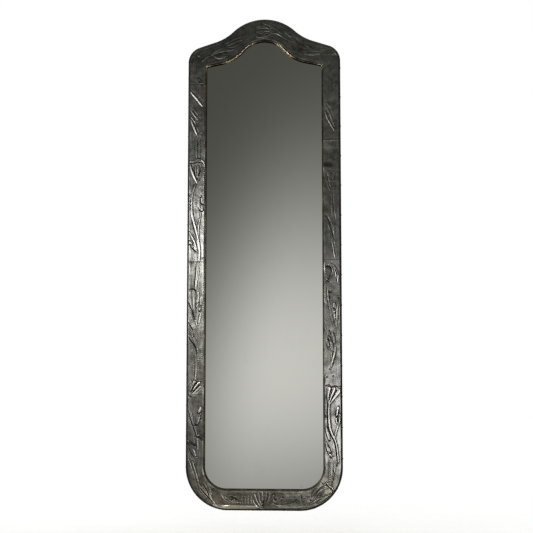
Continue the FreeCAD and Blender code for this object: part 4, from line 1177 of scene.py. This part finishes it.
def pine_paint(name, along, across):
    """Sawn pine with darker bands. Its grain runs along X or Z, whichever has the smaller share."""
    paint = Paint(name)
    grain = paint.noise(30, 5, 0.6, paint.stretched((7 * along, 7, 7 * across)), 0.6)
    pores = paint.noise(240, 3, 0.6, paint.stretched((3 * along, 3, 3 * across)))
    aged = paint.noise(5, 4, 0.6)
    colour = paint.ramp(grain, [(0.28, (0.36, 0.21, 0.095)), (0.45, (0.50, 0.33, 0.17)),
                                (0.6, (0.60, 0.43, 0.25)), (0.8, (0.68, 0.51, 0.32))])
    paint.set("Base Color", paint.mix(paint.remap(aged, 0.4, 0.7, 0, 0.45), colour, (0.30, 0.19, 0.10)))
    paint.set("Roughness", paint.swing(pores, 0.62, 0.85))
    paint.bump(paint.math("ADD", pores, grain), 0.4, 0.0006)
    return paint.material


def board_paint(name, dark, pale, fibre_scale):
    """Pressed fibre board: a mottled brown sheet with short fibres."""
    paint = Paint(name)
    fibre = paint.noise(fibre_scale, 4, 0.7, paint.stretched((1, 1, 0.35)), 1.2)
    cloud = paint.noise(7, 4, 0.6)
    colour = paint.ramp(fibre, [(0.3, dark), (0.7, pale)])
    paint.set("Base Color", paint.mix(paint.remap(cloud, 0.35, 0.7, 0, 0.35), colour, dark))
    paint.set("Roughness", paint.swing(fibre, 0.55, 0.75))
    paint.bump(fibre, 0.2, 0.0004)
    return paint.material


def steel_paint(name, dark, pale, rough):
    """Plated or blued steel with faint blotches and fine scratches."""
    paint = Paint(name, Metallic=1.0)
    blotch = paint.noise(160, 4, 0.65)
    paint.set("Base Color", paint.ramp(blotch, [(0.32, dark), (0.68, pale)]))
    paint.set("Roughness", paint.swing(blotch, rough + 0.12, rough - 0.06))
    paint.bump(paint.noise(1500, 2, 0.6), 0.15, 0.0002)
    return paint.material


def dress(names, material):
    """Gives nodes of the solid model a material."""
    for name in names:
        slots = nodes[name].data.materials
        slots.clear()
        slots.append(material)


tin = tin_paint()
for sheet_name, seams in sheet_seams.items():
    sheet = add_piece("embossed_" + sheet_name, sheet_mesh(sheet_name, *seams), "frame", tin)
    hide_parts(sheet_name)

brass = brass_paint()
for strip_name, above in (("crest_sight_strip", True), ("side_sight_strip", False)):
    strip = add_piece("rounded_" + strip_name, strip_mesh(strip_name, above), "frame", brass)
    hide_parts(strip_name)

dress(["mirror_glass"], mirror_paint())
grain_stretch = 0.065
dress(["crest_rail", "bottom_rail"], pine_paint("pine_across", grain_stretch, 1))
dress(["left_stile", "right_stile"], pine_paint("pine_upright", 1, grain_stretch))
dress(["packing_board"], board_paint("brown_card", (0.30, 0.22, 0.13), (0.48, 0.37, 0.24), 300))
dress(["back_panel"], board_paint("brown_hardboard", (0.16, 0.085, 0.04), (0.29, 0.175, 0.09), 420))
dress(["left_hanger_strap", "right_hanger_strap", "left_hanger_ring", "right_hanger_ring"],
      steel_paint("zinc_plate", (0.42, 0.42, 0.40), (0.66, 0.66, 0.64), 0.3))
dress(["lap_screws", "panel_screws", "hanger_screws"],
      steel_paint("screw_zinc", (0.40, 0.36, 0.26), (0.66, 0.61, 0.46), 0.3))
dress(["tin_tacks"], steel_paint("dark_tacks", (0.05, 0.048, 0.042), (0.16, 0.155, 0.14), 0.4))


def add_camera():
    """Camera at the photograph's viewing angle."""
    camera = bpy.data.objects.new("camera", bpy.data.cameras.new("camera"))
    camera.data.lens = lens
    camera.data.sensor_width = sensor_width
    camera.location = camera_place
    camera.rotation_euler = (camera_aim - camera_place).to_track_quat("-Z", "Y").to_euler()
    bpy.context.scene.collection.objects.link(camera)
    bpy.context.scene.camera = camera


def add_softbox(name, place, aim, size, power, colour=(1, 1, 1), glossy=True):
    """Rectangular studio lamp that the camera itself doesn't see."""
    light = bpy.data.lights.new(name, "AREA")
    light.shape = "RECTANGLE"
    light.size, light.size_y = size
    light.energy = power
    light.color = colour
    lamp = bpy.data.objects.new(name, light)
    lamp.location = place
    lamp.rotation_euler = (Vector(aim) - Vector(place)).to_track_quat("-Z", "Y").to_euler()
    lamp.visible_camera = False
    lamp.visible_glossy = glossy
    bpy.context.scene.collection.objects.link(lamp)


def add_world():
    """White background for the camera, and for the mirror a dim studio with a soft pool of light."""
    world = bpy.data.worlds.new("studio")
    world.use_nodes = True
    sky = Nodes(world.node_tree)
    sky.tree.nodes.clear()

    def bell(value, middle, spread):
        scaled = sky.math("DIVIDE", sky.math("SUBTRACT", value, middle), spread)
        return sky.math("EXPONENT", sky.math("MULTIPLY", sky.math("MULTIPLY", scaled, scaled), -1.0))

    def light(colour, strength):
        lit = sky.node("ShaderNodeBackground")
        lit.inputs["Color"].default_value = (*colour, 1)
        sky.put(strength, lit.inputs["Strength"])
        return lit.outputs[0]

    def joined(kind, *values):
        made = sky.node(kind)
        for value, socket in zip(values, made.inputs):
            sky.put(value, socket)
        return made.outputs[0]

    aside, backward, upward = sky.apart(sky.node("ShaderNodeTexCoord").outputs["Generated"])
    ahead = sky.math("MAXIMUM", sky.math("MULTIPLY", backward, -1.0), least_ahead)
    across, rise = sky.math("DIVIDE", aside, ahead), sky.math("DIVIDE", upward, ahead)
    middle = sky.math("ADD", sky.math("MULTIPLY", rise, pool_lean), pool_across)
    beside, over = sky.math("SUBTRACT", across, middle), sky.math("SUBTRACT", rise, pool_rise)
    parts = [bell(sky.math(side, value, 0.0), 0.0, spread) for side, value, spread in (
        ("MINIMUM", over, pool_drop), ("MAXIMUM", over, pool_reach),
        ("MINIMUM", beside, pool_left_width), ("MAXIMUM", beside, pool_right_width))]
    pool = sky.math("MULTIPLY", sky.math("MULTIPLY", *parts[:2]), sky.math("MULTIPLY", *parts[2:]))
    glow = sky.math("MULTIPLY", bell(rise, glow_rise, glow_height), bell(across, glow_across, glow_width))
    bright = sky.math("ADD", sky.math("MULTIPLY", pool, pool_light), sky.math("MULTIPLY", glow, glow_light))
    behind = sky.math("GREATER_THAN", backward, 0.0)
    bright = sky.math("ADD", bright, sky.math("MULTIPLY", behind, back_light))

    studio = joined("ShaderNodeAddShader", light(pool_tint, bright), light(dim_tint, studio_dim))
    path = sky.node("ShaderNodeLightPath")
    card = sky.math("MULTIPLY", sky.math("GREATER_THAN", backward, card_edge), path.outputs["Is Glossy Ray"])
    shown = sky.math("MAXIMUM", path.outputs["Is Camera Ray"], card)
    mixed = joined("ShaderNodeMixShader", shown, studio, light((1, 1, 1), 1.0))
    sky.put(mixed, sky.node("ShaderNodeOutputWorld").inputs[0])
    bpy.context.scene.world = world


def add_floor():
    """Pale round floor under the mirror, fading into the white background."""
    angles = [2 * math.pi * step / floor_sides for step in range(floor_sides)]
    vertices = [(0, 0, 0)] + [(floor_radius * math.cos(a), floor_radius * math.sin(a), 0) for a in angles]
    faces = [(0, 1 + step, 1 + (step + 1) % floor_sides) for step in range(floor_sides)]
    mesh = bpy.data.meshes.new("floor")
    mesh.from_pydata(vertices, [], faces)
    floor = bpy.data.objects.new("floor", mesh)
    floor.location = (0, 0, floor_level)
    floor.visible_glossy = False
    bpy.context.scene.collection.objects.link(floor)
    paint = Paint("pale_floor", Roughness=0.9)
    pale = [(0.3, (0.91, 0.91, 0.90)), (0.7, (0.95, 0.95, 0.94))]
    paint.set("Base Color", paint.ramp(paint.noise(3, 3), pale))
    distance = paint.node("ShaderNodeVectorMath", operation="LENGTH")
    paint.put(paint.place, distance.inputs[0])
    fade = [share * floor_radius for share in floor_fade]
    paint.set("Alpha", paint.remap(distance.outputs["Value"], *fade, 1.0, 0.0))
    mesh.materials.append(paint.material)


# The studio, in slopes seen from the mirror: across and up for each unit ahead
pool_across, pool_lean, pool_left_width, pool_right_width = -0.041, 0.20, 0.088, 0.21
pool_rise, pool_drop, pool_reach = -0.019, 0.148, 0.175
pool_light, studio_dim, back_light = 0.565, 0.069, 0.35
pool_tint, dim_tint = (1.015, 1.0, 0.975), (0.98, 1.0, 0.84)
glow_across, glow_width, glow_rise, glow_height, glow_light = -0.2, 0.13, -0.65, 0.22, 0.9
least_ahead, card_edge = 0.02, 0.6
floor_level, floor_radius, floor_sides, floor_fade = -1.0, 2.0, 96, (0.35, 0.98)

add_camera()
add_world()
add_floor()
add_softbox("softbox_left", (-1.43, -3.0, 0.30), (-0.38, 0, 0.1), (1.76, 0.58), 19.1)
add_softbox("softbox_right", (0.50, -3.0, -0.70), (0.2, 0, -0.4), (0.56, 0.76), 6, (0.96, 1, 1.09))
add_softbox("softbox_top", (0.0, -1.6, 2.6), (0, 0, -0.6), (2.0, 1.4), 60, glossy=False)
add_softbox("window_left", (-1.71, -0.84, 3.05), (-0.06, 0, 0.69), (0.8, 0.6), 16)
add_softbox("window_right", (1.44, -1.26, 3.05), (0.09, 0, 0.69), (0.8, 0.6), 18)
add_softbox("softbox_back", (1.3, 2.6, 1.0), (0, 0, 0), (1.6, 1.6), 46, glossy=False)
add_softbox("softbox_back_low", (-1.6, 2.2, -0.2), (0, 0, 0), (1.2, 1.6), 26, glossy=False)
bpy.context.scene.view_settings.view_transform = "Standard"
